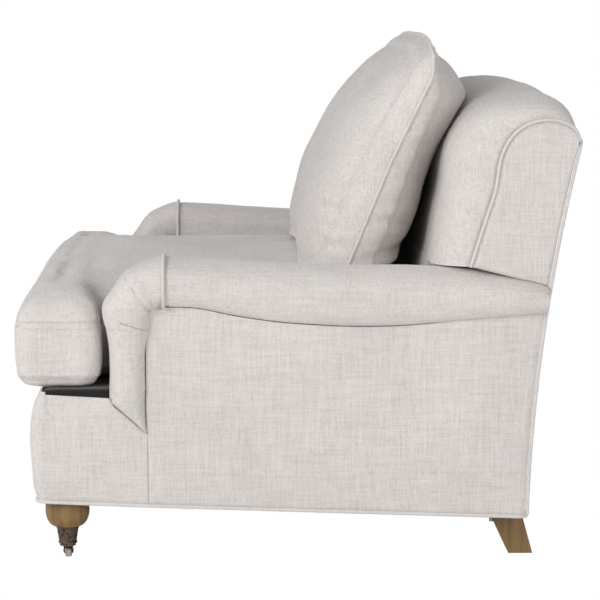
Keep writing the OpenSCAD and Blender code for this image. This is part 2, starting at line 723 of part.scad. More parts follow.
// Raked rear legs
rear_leg_in = 102;
rear_leg_x = side_x - rear_leg_in;
rear_leg_top_d = 58;
rear_leg_foot_d = 42;
rear_leg_kick = 22;
rear_bolt_y = rear_block_y - rear_block_d / 2;
module rear_leg(side) {
    y1 = foot_y;
    y0 = y1 - rear_leg_top_d;
    foot_y1 = y1 + rear_leg_kick;
    color(leg_oak) on_side(side) difference() {
        along_x(rear_leg_x - rear_leg_w / 2, rear_leg_x + rear_leg_w / 2)
            polygon([[foot_y1 - rear_leg_foot_d, 0], [foot_y1, 0], [y1, base_z(y1)], [y0, base_z(y0)]]);
        translate([rear_leg_x, rear_bolt_y, base_z(rear_bolt_y) - bolt_down - overrun])
            cylinder(d = bolt_d + 2 * bore_gap, h = bolt_down + panel_t, $fn = 32);
    }
}

// Casters: a cup on the foot of the leg, and a horn that swivels under it and carries the wheel
plate_d = 28;
plate_t = 3;
wheel_gap = 2;
plate_h = wheel_d + wheel_gap;
cup_low_d = 29.5;
cup_wall = 2;
cup_floor_h = plate_h + plate_t + gap;
cup_in_top_r = cup_d / 2 - cup_wall;
cup_in_low_r = cup_low_d / 2 - cup_wall;
cup_bead = 1.5;
pin_d = 6;
pin_head_d = 10;
pin_head_t = 2;
module caster_cup(side) {
    r1 = cup_low_d / 2;
    r2 = cup_d / 2;
    color(pewter) on_side(side) translate([front_leg_x, front_leg_y, 0]) difference() {
        rotate_extrude($fn = 64) polygon([
            [0, cup_floor_h], [r1, cup_floor_h], [r1 + cup_bead, cup_floor_h + cup_bead],
            [r1 + cup_bead, cup_floor_h + 2 * cup_bead], [r1 + cup_bead / 3, cup_floor_h + 3 * cup_bead],
            [r2 - cup_bead / 3, cup_top_h - 3 * cup_bead], [r2 + cup_bead / 2, cup_top_h - 2 * cup_bead],
            [r2 + cup_bead / 2, cup_top_h - cup_bead], [r2, cup_top_h], [cup_in_top_r + bore_gap, cup_top_h],
            [cup_in_low_r + bore_gap, cup_floor_h + cup_wall], [0, cup_floor_h + cup_wall]]);
        cylinder(d = pin_d + 2 * bore_gap, h = cup_top_h, $fn = 48);
    }
}

cheek_t = 2;
cheek_gap = 0.5;
axle_d = 3.5;
axle_head_t = 0.8;
axle_head_d = 5.5;
cheek_end_r = 5;
module caster_horn(side) {
    axle_x = -caster_trail;
    axle_z = wheel_d / 2;
    half = wheel_w / 2 + cheek_gap;
    reach = half + cheek_t;
    color(pewter) on_side(side) translate([front_leg_x, front_leg_y, 0]) {
        translate([0, 0, plate_h]) cylinder(d = plate_d, h = plate_t, $fn = 64);
        translate([0, 0, plate_h]) cylinder(d = pin_d, h = cup_floor_h + cup_wall + gap - plate_h, $fn = 48);
        translate([0, 0, cup_floor_h + cup_wall + bore_gap]) cylinder(d = pin_head_d, h = pin_head_t, $fn = 48);
        for (s = [-1, 1]) translate([0, s * (half + cheek_t / 2) + cheek_t / 2, 0]) rotate([90, 0, 0])
            linear_extrude(cheek_t) hull() {
                translate([axle_x, axle_z]) circle(r = cheek_end_r, $fn = 32);
                translate([axle_x / 2 - cheek_end_r, plate_h]) square([2 * cheek_end_r, plate_t]);
            }
        translate([axle_x, reach + axle_head_t, axle_z]) rotate([90, 0, 0])
            cylinder(d = axle_d, h = 2 * (reach + axle_head_t), $fn = 48);
        for (s = [-1, 1]) translate([axle_x, s * (reach + axle_head_t / 2) + axle_head_t / 2, axle_z])
            rotate([90, 0, 0]) cylinder(d = axle_head_d, h = axle_head_t, $fn = 48);
    }
}

tread_round = 1.5;
hub_dish = 1;
module caster_wheel(side) {
    r = wheel_d / 2;
    w = wheel_w / 2;
    bore_r = axle_d / 2 + bore_gap;
    dish_r0 = axle_head_d / 2 + hub_dish;
    dish_r1 = r - 2 * tread_round;
    color(nickel) on_side(side) translate([front_leg_x - caster_trail, front_leg_y, r]) rotate([90, 0, 0])
        rotate_extrude($fn = 96) polygon([
            [bore_r, -w], [dish_r0, -w], [dish_r0 + hub_dish, hub_dish - w], [dish_r1 - hub_dish, hub_dish - w],
            [dish_r1, -w], [r - tread_round, -w], [r, tread_round - w], [r, w - tread_round],
            [r - tread_round, w], [dish_r1, w], [dish_r1 - hub_dish, w - hub_dish],
            [dish_r0 + hub_dish, w - hub_dish], [dish_r0, w], [bore_r, w]]);
}

// T-shaped seat cushion: a crowned seat behind, and across its front a bar with the two ears
cushion_gap = 3;
stem_back_y = rear_y(deck_h) - back_t - cushion_gap;
stem_front_in = 52;
stem_front_y = front_y + stem_front_in;
seat_corner_r = 34;
ear_corner_r = 30;
seat_draw = 4;
seat_edge_base = 185;
seat_profile = [[60, 0], [16, 0.01], [4, 0.06], [0, 0.2], [0, 0.5], [3, 0.72], [15, 0.88], [35, 0.985],
    [60, 1.07], [88, 1.11], [130, 1.125], [240, 1.13]];
ear_profile = [[42, 0], [20, 0.01], [8, 0.08], [3, 0.17], [0, 0.35], [1, 0.66], [8, 0.81], [18, 0.91],
    [32, 0.97], [46, 0.99], [62, 1]];
ear_lift_share = 0.6;
module seat_cushion() {
    z0 = deck_h + gap;
    t = seat_cushion_t;
    edge_k = t / seat_edge_base;
    crown_k = seat_crown / (seat_edge_base * (seat_profile[11][1] - 1));
    color(linen) union() {
        pillow(seat_x - cushion_gap, (stem_back_y - stem_front_y) / 2, seat_corner_r, seat_draw,
            (stem_back_y + stem_front_y) / 2, z0,
            [for (p = seat_profile) [p[0] * edge_k,
                t * (p[1] < 1 ? p[1] : 1 + (p[1] - 1) * crown_k * seat_edge_base / t), 0]]);
        pillow(side_x - cushion_gap, ear_l / 2, ear_corner_r, seat_draw / 2, front_y + ear_l / 2,
            z0 + overrun,
            [for (p = ear_profile) [p[0] * edge_k, (t - overrun) * p[1],
                seat_crown * max(0, p[1] - ear_lift_share) / (1 - ear_lift_share)]]);
    }
}

// Back cushion with a knife edge: horizontal slices, each a lens about the leaning seam
back_cushion_in = 20;
back_cushion_w = seat_w - 2 * back_cushion_in;
lean = 0.415;
seam_foot = 126;
seat_top_h = deck_h + gap + seat_cushion_t + seat_crown;
slice_shares = [0, 0.04, 0.12, 0.25, 0.4, 0.55, 0.67, 0.76, 0.84, 0.9, 0.95, 0.98, 1];
front_swell_shares = [0.45, 0.76, 0.9, 0.97, 1, 0.99, 0.93, 0.84, 0.68, 0.5, 0.28, 0.12, 0.03];
rear_swell_shares = [0.54, 0.94, 0.99, 1, 0.95, 0.82, 0.83, 0.91, 0.65, 0.37, 0.15, 0.065, 0.03];
slice_n = 7;
end_power = 6;
dog_ear = 8;
waist_draw = 10;
function seam_line(share) =
    let (z = seat_top_h + gap + share * back_cushion_h)
    [rear_y(seat_top_h) - back_t - seam_foot + min(share, 0.9) * back_cushion_h * lean, z];
function slice_station(k) = let (s = k / slice_n) 1 - pow(1 - s, 1.6);
function cushion_slice(i) =
    let (share = slice_shares[i], c = seam_line(share))
    let (half = back_cushion_w / 2 - waist_draw * (1 - pow(2 * share - 1, 2)))
    let (side = [for (k = [slice_n - 1 : -1 : 1 - slice_n]) sign(k) * slice_station(abs(k))])
    concat([[half, c[0], c[1] + dog_ear * (2 * share - 1) * (share > 0.5 ? 1 : 0)]],
        [for (u = side) let (e = pow(1 - pow(abs(u), end_power), 0.6))
            [half * u, c[0] + rear_swell_shares[i] * back_cushion_rear * e,
                c[1] + dog_ear * (share > 0.5 ? 2 * share - 1 : 0) * pow(abs(u), end_power)]],
        [[-half, c[0], c[1] + dog_ear * (2 * share - 1) * (share > 0.5 ? 1 : 0)]],
        [for (u = turned(side)) let (e = pow(1 - pow(abs(u), end_power), 0.6))
            [half * u, c[0] - front_swell_shares[i] * back_cushion_front * e,
                c[1] + dog_ear * (share > 0.5 ? 2 * share - 1 : 0) * pow(abs(u), end_power)]]);
module back_cushion() {
    color(linen) loft([for (i = [0 : len(slice_shares) - 1]) cushion_slice(i)]);
}

// Welt along the ends and the top of the back cushion's seam
module back_cushion_welt() {
    r = welt_r + gap / 2;
    n = len(slice_shares);
    half = [for (i = [1 : n - 1]) let (p = cushion_slice(i)[0]) [p[0] + r, p[1], p[2] + (i == n - 1 ? r : 0)]];
    top = [for (k = [slice_n - 1 : -2 : 0]) let (p = cushion_slice(n - 1)[slice_n - k]) [p[0], p[1] , p[2] + r]];
    near = concat(half, top);
    color(welt_linen)
        welt(concat(near, [for (i = [len(near) - 2 : -1 : 0]) [-near[i][0], near[i][1], near[i][2]]]),
            6, [0, 1, -0.3]);
}

front_rail();
side_rail(1);  // side_rail_left
side_rail(-1);  // side_rail_right
seat_back_rail();
back_lower_rail();
centre_stretcher();
corner_blocks();
arm_post(1);  // arm_post_left
arm_post(-1);  // arm_post_right
arm_rail(1);  // arm_rail_left
arm_rail(-1);  // arm_rail_right
tacking_rail(1);  // tacking_rail_left
tacking_rail(-1);  // tacking_rail_right
back_post(1);  // back_post_left
back_post(-1);  // back_post_right
back_top_rail();
back_stay_rail();
back_upright();
back_webbing();
spring_clips();
seat_springs();
spring_cover();
deck_pad();
inner_arm(1);  // inner_arm_left
inner_arm(-1);  // inner_arm_right
arm_roll(1);  // arm_roll_left
arm_roll(-1);  // arm_roll_right
arm_front(1);  // arm_front_left
arm_front(-1);  // arm_front_right
arm_welt(1);  // arm_welt_left
arm_welt(-1);  // arm_welt_right
side_panel(1);  // side_panel_left
side_panel(-1);  // side_panel_right
front_border();
inner_back();
back_side(1);  // back_side_left
back_side(-1);  // back_side_right
back_side_welt(1);  // back_side_welt_left
back_side_welt(-1);  // back_side_welt_right
outside_back();
back_welt();
base_welt();
dust_cover();
leg_bolts();
front_leg(1);  // front_leg_left
front_leg(-1);  // front_leg_right
rear_leg(1);  // rear_leg_left
rear_leg(-1);  // rear_leg_right
caster_cup(1);  // caster_cup_left
caster_cup(-1);  // caster_cup_right
caster_horn(1);  // caster_horn_left
caster_horn(-1);  // caster_horn_right
caster_wheel(1);  // caster_wheel_left
caster_wheel(-1);  // caster_wheel_right
seat_cushion();
back_cushion();
back_cushion_welt();
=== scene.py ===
import json
from math import ceil, copysign, cos, exp, hypot, pi, radians, sin, sqrt

import bmesh
import bpy
import numpy as np
from mathutils import Matrix, Vector, noise
from mathutils.bvhtree import BVHTree


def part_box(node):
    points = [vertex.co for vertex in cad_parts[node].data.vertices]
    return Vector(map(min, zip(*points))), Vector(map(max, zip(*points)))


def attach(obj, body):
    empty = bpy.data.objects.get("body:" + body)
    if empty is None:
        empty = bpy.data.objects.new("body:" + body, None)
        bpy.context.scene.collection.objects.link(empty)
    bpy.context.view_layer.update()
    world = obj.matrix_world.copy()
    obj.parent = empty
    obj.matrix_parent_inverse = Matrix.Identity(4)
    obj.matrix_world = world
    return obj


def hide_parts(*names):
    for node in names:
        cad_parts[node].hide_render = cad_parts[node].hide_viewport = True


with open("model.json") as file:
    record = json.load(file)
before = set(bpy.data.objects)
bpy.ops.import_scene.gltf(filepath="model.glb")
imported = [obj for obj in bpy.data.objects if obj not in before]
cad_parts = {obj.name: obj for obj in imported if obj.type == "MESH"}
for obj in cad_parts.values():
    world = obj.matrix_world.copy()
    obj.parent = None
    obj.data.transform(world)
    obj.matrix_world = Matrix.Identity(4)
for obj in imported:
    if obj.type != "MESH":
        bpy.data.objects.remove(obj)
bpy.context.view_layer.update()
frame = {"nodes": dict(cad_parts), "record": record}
print("frame loaded")

# Lengths in this script are in millimetres until a mesh is made
mm = 0.001

# Main sizes: the part's own, apart from backT, as the padding makes the back thicker
sizes = {
    "seatX": 500, "sideX": 622, "frameX": 612, "rollX0": 515, "rollX": 582.5, "rollHalf": 67.5,
    "frontY": -482, "borderY": -460, "railY": -440, "columnY": -324, "seamY": -260, "rollY": -232,
    "footY": 387, "baseFrontH": 109, "baseRearH": 79, "deckH": 304, "rollSeatH": 430, "pivotH": 436,
    "armH": 530, "armDrop": 50, "edgeH": 724, "crown": 94, "backT": 204, "rake": 86, "gap": 0.4, "panel": 10,
    "postD": 65, "rollDepth": 84, "rollDip": 34,
}
dim = type("Sizes", (), sizes)


def lerp(a, b, t):
    return a + (b - a) * t


def clamp(x, low=0, high=1):
    return min(high, max(low, x))


def smoothTable(x, points):
    # A curve through the points with no corner at them
    xs = np.array([p[0] for p in points], float)
    ys = np.array([p[1] for p in points], float)
    slopes = np.gradient(ys, xs)
    i = int(np.clip(np.searchsorted(xs, x) - 1, 0, len(xs) - 2))
    h = xs[i + 1] - xs[i]
    t = clamp((x - xs[i]) / h)
    return ((1 + 2 * t) * (1 - t) ** 2 * ys[i] + t * (1 - t) ** 2 * h * slopes[i]
            + t * t * (3 - 2 * t) * ys[i + 1] + t * t * (t - 1) * h * slopes[i + 1])


def bump(d, width):
    # 1 at d = 0, falling off smoothly over the width
    return exp(-(d / width) ** 2)


def rearY(z):
    s = (z - dim.baseRearH) / (dim.edgeH - dim.baseRearH)
    return dim.footY + dim.rake * (s * s + 0.2 * s * (1 - s))


def baseZ(y):
    return lerp(dim.baseFrontH, dim.baseRearH, (y - dim.borderY) / (dim.footY - dim.borderY))


def besideLine(p, start, end):
    # How far along the line a point is, as a share, and how far to the side of it
    a = np.array(start, float)
    run = np.array(end, float) - a
    length = float(np.linalg.norm(run))
    run /= length
    q = np.array(p, float) - a
    return float(q @ run) / length, float(q[0] * run[1] - q[1] * run[0])


def ripple(p, size, seed=0.0):
    return noise.noise(Vector(p) / size + Vector((seed, seed * 0.7, seed * 1.3)))


def newObject(name, mesh):
    obj = bpy.data.objects.new(name, mesh)
    bpy.context.scene.collection.objects.link(obj)
    return obj


def cleaned(mesh, thinEdges=True):
    bm = bmesh.new()
    bm.from_mesh(mesh)
    bmesh.ops.remove_doubles(bm, verts=bm.verts, dist=0.02 * mm)
    if thinEdges:
        bmesh.ops.dissolve_degenerate(bm, edges=bm.edges, dist=0.01 * mm)
    bmesh.ops.recalc_face_normals(bm, faces=bm.faces)
    bm.to_mesh(mesh)
    bm.free()


def makeMesh(name, verts, faces, sharpAngle=50):
    mesh = bpy.data.meshes.new(name)
    mesh.from_pydata([[c * mm for c in v] for v in verts], [], faces)
    mesh.update()
    cleaned(mesh)
    mesh.shade_smooth()
    mesh.set_sharp_from_angle(angle=radians(sharpAngle))
    return newObject(name, mesh)


def applied(obj, smooth=True):
    # Works the modifiers into the mesh and removes them
    deps = bpy.context.evaluated_depsgraph_get()
    mesh = bpy.data.meshes.new_from_object(obj.evaluated_get(deps))
    obj.modifiers.clear()
    old, obj.data = obj.data, mesh
    bpy.data.meshes.remove(old)
    if smooth:
        mesh.shade_smooth()
    return obj


def skin(name, rings, closed=False, sharpAngle=50):
    n, m = len(rings[0]), len(rings)
    verts = [p for ring in rings for p in ring]
    faces = []
    for i in range(m if closed else m - 1):
        k = (i + 1) % m
        for j in range(n):
            q = (j + 1) % n
            faces.append((i * n + j, i * n + q, k * n + q, k * n + j))
    for base in () if closed else (0, (m - 1) * n):
        verts.append(tuple(np.mean(verts[base:base + n], axis=0)))
        faces += [(base + j, base + (j + 1) % n, len(verts) - 1) for j in range(n)]
    return makeMesh(name, verts, faces, sharpAngle)


def sheetMesh(name, grid, closeTo):
    # A grid of points for the outer face, with a second face behind it and a rim between them
    rows, cols = len(grid), len(grid[0])
    front = [p for row in grid for p in row]
    off = len(front)
    faces = []
    for i in range(rows - 1):
        for j in range(cols - 1):
            a, b = i * cols + j, i * cols + j + 1
            c, d = b + cols, a + cols
            faces += [(a, b, c, d), (off + a, off + d, off + c, off + b)]
    rim = ([(0, j) for j in range(cols)] + [(i, cols - 1) for i in range(1, rows)]
           + [(rows - 1, j) for j in range(cols - 2, -1, -1)] + [(i, 0) for i in range(rows - 2, 0, -1)])
    ids = [i * cols + j for i, j in rim]
    faces += [(a, off + a, off + b, b) for a, b in zip(ids, ids[1:] + ids[:1])]
    return makeMesh(name, front + [closeTo(p) for p in front], faces)


def gridOf(rows, cols, place):
    # Points of a sheet: place(v, u) gives one from its shares up and along
    return [[place(i / rows, j / cols) for j in range(cols + 1)] for i in range(rows + 1)]


def moved(obj, change):
    # Moves each vertex by change(point, normal) in millimetres
    mesh = obj.data
    out = []
    for v in mesh.vertices:
        out.extend(c * mm for c in change([c / mm for c in v.co], v.normal))
    mesh.vertices.foreach_set("co", out)
    mesh.update()


def pushed(obj, amount):
    # Moves each vertex along its normal by amount(point, normal)
    def change(p, n):
        d = amount(p, n)
        return [p[k] + n[k] * d for k in range(3)]
    moved(obj, change)


def resample(route, step=0, closed=False, count=0):
    # The same route with evenly spaced points: so many, or about a step apart
    pts = np.array([*route, route[0]] if closed else route, float)
    lengths = np.concatenate([[0], np.cumsum(np.linalg.norm(np.diff(pts, axis=0), axis=1))])
    count = count or max(2, int(round(lengths[-1] / step))) + 1
    at = np.linspace(0, lengths[-1], count)
    out = np.stack([np.interp(at, lengths, column) for column in pts.T], axis=1)
    return out[:-1] if closed else out


def rounded(route, passes, closed=False):
    pts = np.array(route, float)
    for _ in range(passes):
        new = pts * 0.5 + (np.roll(pts, 1, axis=0) + np.roll(pts, -1, axis=0)) * 0.25
        if not closed:
            new[0], new[-1] = pts[0], pts[-1]
        pts = new
    return pts


def tube(name, route, radius, closed=False, step=5, seed=0.0):
    # A piped edge: a round tube along an evenly spaced route, a little uneven as cloth is
    pts = resample(route, step, closed)
    m, sides, wobble = len(pts), 10, 0.25
    rings = []
    side = None
    for i in range(m):
        before = pts[(i - 1) % m] if closed else pts[max(i - 1, 0)]
        after = pts[(i + 1) % m] if closed else pts[min(i + 1, m - 1)]
        t = (after - before) / (np.linalg.norm(after - before) + 1e-9)
        if side is None:
            side = np.cross(t, (0.0, 0.0, 1.0) if abs(t[2]) < 0.8 else (1.0, 0.0, 0.0))
        side = side - t * float(side @ t)
        side /= np.linalg.norm(side)
        up = np.cross(t, side)
        ring = []
        for a in (2 * pi * j / sides for j in range(sides)):
            d = side * cos(a) + up * sin(a)
            ring.append(tuple(pts[i] + d * (radius + wobble * ripple(pts[i] + d * 3, 14, seed))))
        rings.append(ring)
    return skin(name, rings, closed, 80)


def surfaceOf(obj):
    bm = bmesh.new()
    bm.from_mesh(obj.data)
    tree = BVHTree.FromBMesh(bm)
    bm.free()
    return tree


def mirrored(points, side=-1):
    return [(p[0] * side, p[1], p[2]) for p in points]


def hand(side):
    return "Left" if side > 0 else "Right"


def cadHand(side):
    return hand(side).lower()


def dress(obj, node=None, cloth=None, body="seat_frame"):
    obj.data.materials.clear()
    obj.data.materials.append(cloth or linenCloth)
    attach(obj, body)
    if node:
        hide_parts(node)


# Materials

def fill(tree, node, values):
    # Each value goes to an input: the output of another node, a number or a colour
    for key, value in values.items():
        socket = node.inputs[key]
        if isinstance(value, bpy.types.NodeSocket):
            tree.links.new(value, socket)
        else:
            socket.default_value = (*value, 1) if socket.type == "RGBA" else value


def addNode(tree, kind, values, **settings):
    node = tree.nodes.new(kind)
    for key, value in settings.items():
        setattr(node, key, value)
    fill(tree, node, values)
    return node


class Nodes:
    # The node tree of one material
    def __init__(self, name, color, roughness, metallic=0.0, **inputs):
        self.material = bpy.data.materials.new(name)
        self.material.use_nodes = True
        self.tree = self.material.node_tree
        values = {key.replace("_", " "): value for key, value in inputs.items()}
        self.finish({"Base Color": color, "Roughness": roughness, "Metallic": metallic, **values})
        self.place = self.add("ShaderNodeTexCoord", {}).outputs["Object"]

    def add(self, kind, values, **settings):
        return addNode(self.tree, kind, values, **settings)

    def stretched(self, scale, detail=3.0, rough=0.55):
        # Noise with its own scale along each axis
        mapping = self.add("ShaderNodeMapping", {"Scale": scale, "Vector": self.place})
        return self.add("ShaderNodeTexNoise", {
            "Scale": 1.0, "Detail": detail, "Roughness": rough, "Vector": mapping.outputs["Vector"],
        }).outputs["Fac"]

    def ramp(self, value, stops):
        node = self.add("ShaderNodeValToRGB", {"Fac": value})
        while len(node.color_ramp.elements) < len(stops):
            node.color_ramp.elements.new(0.5)
        for element, (pos, color) in zip(node.color_ramp.elements, stops):
            element.position = pos
            element.color = (*color, 1)
        return node.outputs["Color"]

    def math(self, operation, a, b):
        return self.add("ShaderNodeMath", {0: a, 1: b}, operation=operation).outputs[0]

    def total(self, *terms):
        # Adds outputs, each with its weight
        parts = [self.math("MULTIPLY", value, weight) for value, weight in terms]
        out = parts[0]
        for part in parts[1:]:
            out = self.math("ADD", out, part)
        return out

    def mix(self, factor, a, b, blend="MIX"):
        values = {0: factor, 6: a, 7: b}
        return self.add("ShaderNodeMix", values, data_type="RGBA", blend_type=blend).outputs[2]

    def bump(self, height, strength, distance):
        return self.add("ShaderNodeBump", {
            "Strength": strength, "Distance": distance, "Height": height}).outputs["Normal"]

    def finish(self, values):
        fill(self.tree, self.tree.nodes["Principled BSDF"], values)
        return self.material


linenLook = {
    "color": (0.665, 0.627, 0.604), "dark": (0.49, 0.452, 0.425), "light": (0.78, 0.748, 0.728),
    "slubLength": 26.0, "slubThread": 900.0, "weave": 1350.0, "bump": 0.55, "contrast": 1.0,
}


def linen(name, look):
    n = Nodes(name, look["color"], 0.9, Sheen_Weight=0.25, Sheen_Roughness=0.55, Specular_IOR_Level=0.18)
    thread, run = look["slubThread"], look["slubLength"]

    def threads(along, across):
        # Threads along each axis in turn
        return [n.stretched([along if k == axis else across for k in range(3)], 2.0) for axis in range(3)]
    x, y, z = threads(run, thread)
    slubs = n.total((x, 0.25), (y, 0.25), (z, 0.5))
    x, y, z = threads(run * 0.6, thread * 0.3)
    coarse = n.math("MULTIPLY", n.total((x, 1), (y, 1), (z, 1)), 0.3333)
    cloud = n.stretched((9, 9, 9), 3.0)
    blend = n.total((slubs, 0.45), (coarse, 0.55))
    streaks = n.ramp(blend, [(0.34, look["dark"]), (0.5, look["color"]), (0.66, look["light"])])
    base = n.mix(look["contrast"], look["color"], streaks)
    tone = n.ramp(cloud, [(0.3, (0.93, 0.93, 0.93)), (0.7, (1.0, 1.0, 1.0))])
    x, y, z = [n.add("ShaderNodeTexWave", {
        "Scale": look["weave"] / 20, "Distortion": 1.2, "Detail": 1.0, "Vector": n.place,
    }, wave_type="BANDS", bands_direction=direction).outputs["Fac"] for direction in "XYZ"]
    height = n.total((x, 0.25), (y, 0.25), (z, 0.25), (blend, 2.0))
    return n.finish({"Base Color": n.mix(1.0, base, tone, "MULTIPLY"),
                     "Normal": n.bump(height, look["bump"], 0.0012)})


woodLook = {"dark": (0.12, 0.066, 0.02), "mid": (0.225, 0.135, 0.045), "light": (0.32, 0.2, 0.074)}


def wood(name, look, roughness, along):
    n = Nodes(name, look["mid"], roughness, Coat_Weight=0.08, Coat_Roughness=0.5)
    k = [5 if axis == along else 90 for axis in "XYZ"]
    grain = n.stretched(k, 5.0, 0.65)
    broad = n.stretched([c * 0.25 for c in k], 3.0)
    value = n.total((grain, 0.6), (broad, 0.4))
    color = n.ramp(value, [(0.33, look["dark"]), (0.5, look["mid"]), (0.68, look["light"])])
    pores = n.stretched([c * 6 for c in k], 2.0)
    normal = n.bump(n.total((value, 1), (pores, 0.5)), 0.25, 0.0008)
    rough = n.math("ADD", n.math("MULTIPLY", pores, 0.2), roughness - 0.1)
    return n.finish({"Base Color": color, "Normal": normal, "Roughness": rough})


def metal(name, color, dark, roughness, wear=0.5):
    n = Nodes(name, color, roughness, 1.0)
    patina = n.stretched((160, 160, 160), 4.0)
    scratch = n.stretched((2500, 60, 2500), 2.0)
    tone = n.ramp(patina, [(0.35, dark), (0.35 + 0.3 * wear, color)])
    normal = n.bump(scratch, 0.06, 0.0003)
    rough = n.math("ADD", n.math("MULTIPLY", patina, 0.25), roughness - 0.1)
    return n.finish({"Base Color": tone, "Normal": normal, "Roughness": rough})


def coarseCloth(name, color, dark, thread):
    n = Nodes(name, color, 0.95, Specular_IOR_Level=0.1)
    cells = n.stretched((thread, thread * 0.12, thread), 2.0)
    other = n.stretched((thread * 0.12, thread, thread), 2.0)
    value = n.total((cells, 0.5), (other, 0.5))
    return n.finish({"Base Color": n.ramp(value, [(0.35, dark), (0.6, color)]),
                     "Normal": n.bump(value, 0.4, 0.001)})


linenCloth = linen("linenWeave", linenLook)
weltCloth = linen("linenWelt", dict(linenLook, color=(0.69, 0.652, 0.628), dark=(0.56, 0.52, 0.49),
                                    contrast=0.7))
liningCloth = linen("linenLining", dict(linenLook, color=(0.62, 0.585, 0.56)))
# The deck pad's linen painted near black: painted shade for the deep dark gaps round the seat cushion
deckShadeCloth = linen("deckPaintedShade", dict(linenLook, color=(0.012, 0.012, 0.012), dark=(0.008, 0.008, 0.008),
                                     light=(0.02, 0.02, 0.02)))
# Painted shadow: a near-black cloth for the thin cord laid under each pleat's fold edge, standing in for the
# shade in the fold
pleatShadowCloth = Nodes("pleatShade", (0.10, 0.088, 0.08), 0.9).material
threadCloth = Nodes("seamThread", (0.50, 0.465, 0.44), 0.85).material
legWood = wood("legOak", woodLook, 0.55, "Z")
rawWood = wood("frameHardwood", {"dark": (0.36, 0.23, 0.11), "mid": (0.52, 0.36, 0.19),
                                 "light": (0.62, 0.46, 0.27)}, 0.7, "X")
wireSteel = metal("springWire", (0.55, 0.55, 0.56), (0.30, 0.29, 0.29), 0.35)
pewterMetal = metal("antiquePewter", (0.16, 0.12, 0.095), (0.05, 0.035, 0.026), 0.42)
nickelMetal = metal("wheelNickel", (0.62, 0.60, 0.57), (0.42, 0.40, 0.37), 0.2, 0.3)
juteCloth = coarseCloth("juteWeave", (0.42, 0.30, 0.16), (0.22, 0.15, 0.08), 420)
cambricCloth = coarseCloth("blackCambric", (0.02, 0.02, 0.021), (0.008, 0.008, 0.009), 900)
print("materials made")

cadLooks = {
    "hardwood": rawWood, "leg_oak": legWood, "spring_steel": wireSteel, "pewter": pewterMetal,
    "nickel": nickelMetal, "jute": juteCloth, "cambric": cambricCloth, "linen": linenCloth,
    "welt_linen": weltCloth,
}
slotOf = {s["node"]: s["material_slot"] for s in frame["record"]["subparts"]}
for nodeName, obj in frame["nodes"].items():
    obj.data.materials.clear()
    obj.data.materials.append(cadLooks[slotOf[nodeName]])
print("frame pieces dressed")

# Arms: the roll, from its piped front to the back

rollDropShares = [(0, 0), (0.35, 0.28), (0.78, 0.5), (0.92, 0.8), (1, 1)]
rollUnderShares = [(0, 0), (0.09, 0.06), (0.18, 0.41), (0.3, 0.76), (0.4, 0.91), (0.53, 1),
                   (0.64, 0.94), (0.78, 0.68), (0.91, 0.47), (1, 0.38)]
rollLength = rearY(dim.rollSeatH) - dim.rollY


def rollTop(y):
    return dim.armH - dim.armDrop * smoothTable((y - dim.rollY) / rollLength, rollDropShares)


def rollUnder(y):
    return dim.armH - dim.rollDepth - dim.rollDip * smoothTable((y - dim.rollY) / rollLength, rollUnderShares)


def rollSection(y, grow=0.0, arcSteps=28):
    top, under = rollTop(y) + grow, rollUnder(y) - grow
    mid, half = (rollTop(y) + rollUnder(y)) / 2, dim.rollHalf + grow
    lip = dim.sideX + 3
    start = [(dim.seatX + 3, dim.rollSeatH + grow),
             ((dim.seatX + dim.rollX0) / 2 - grow, lerp(dim.rollSeatH, mid, 0.5))]
    arc = [(dim.rollX + half * cos(pi * (1 - i / arcSteps)),
            mid + (top - mid) * sin(pi * (1 - i / arcSteps))) for i in range(arcSteps + 1)]
    turn = [(lerp(lip, dim.rollX + half, cos(a)), lerp(mid, under, sin(a)))
            for a in map(radians, (10, 20, 30, 42, 54, 66, 78, 90))]
    end = [(608, under), (608, dim.rollSeatH)]
    return start + arc + turn + end


rollPad = {"wrinkle": 1.6, "wrinkleSize": 70, "stations": 90, "endY": 470}


def armRoll(side):
    rings = []
    for i in range(rollPad["stations"] + 1):
        share = i / rollPad["stations"]
        y = dim.rollY + share * rollLength
        rings.append([(x * side, min(lerp(y, rearY(z), share ** 8), rollPad["endY"]), z)
                      for x, z in rollSection(y)])
    obj = skin("armRoll" + hand(side), rings)

    def change(p, n):
        s = clamp((p[1] - dim.rollY) / 25) * (1 if n[2] > -0.2 else 0.3)
        folded = ripple((p[0] * 2, p[1] * 0.7, p[2] * 2), rollPad["wrinkleSize"], 3 * side)
        d = rollPad["wrinkle"] * s * folded
        dent = -1.4 * bump(p[1] - dim.rollY - 6, 5)
        return d + dent - 0.6
    pushed(obj, change)
    dress(obj, "arm_roll_" + cadHand(side))


# Arm fronts: a quarter bend with flat facets, then a column that narrows to a waist and an
# apron outside the frame that ends on the slanting seam of the border

columnShares = [(0, 1), (0.25, 0.45), (0.5, 0.1), (0.8, 0), (1, 0.1)]
# The bend's rings turn about this place (Y, Z); its outer and inner distances over the turn
bendPivot = (-232, 412)
bendOuter = [(0, 118), (0.2, 112.5), (0.42, 111), (0.61, 106), (0.8, 109), (0.92, 103.5), (1, 99.5)]
bendInner = [(0, 29.5), (0.16, 29), (0.44, 28), (0.58, 24), (0.72, 21.5), (1, 20.5)]
# How far the column's rear edge stands behind the seam, by height
columnRear = [(360, 0), (372, 1), (390, 4.5), (406, 7), (412, 7.5)]
knee = {
    "waist": 116, "swell": 12, "power": 0.75, "around": 132, "apronX": 627, "apronTop": 281,
    "apronLow": 227,
    # Creases: where each starts and ends in Y and Z, its depth and its width
    "creases": [((-250, 434), (-301, 503), 4.2, 2.6), ((-253, 406), (-318, 426), 3.8, 2.4),
                ((-262, 440), (-322, 452), 1.2, 4.0)],
    "fold": 2.4, "foldWidth": 9, "wrinkle": 1.0,
}


def oval(u, v):
    out = []
    for j in range(knee["around"]):
        a = 2 * pi * (j + 0.5) / knee["around"]
        out.append([half * copysign(abs(c) ** knee["power"], c)
                    for half, c in ((u, cos(a)), (v, sin(a)))])
    return out


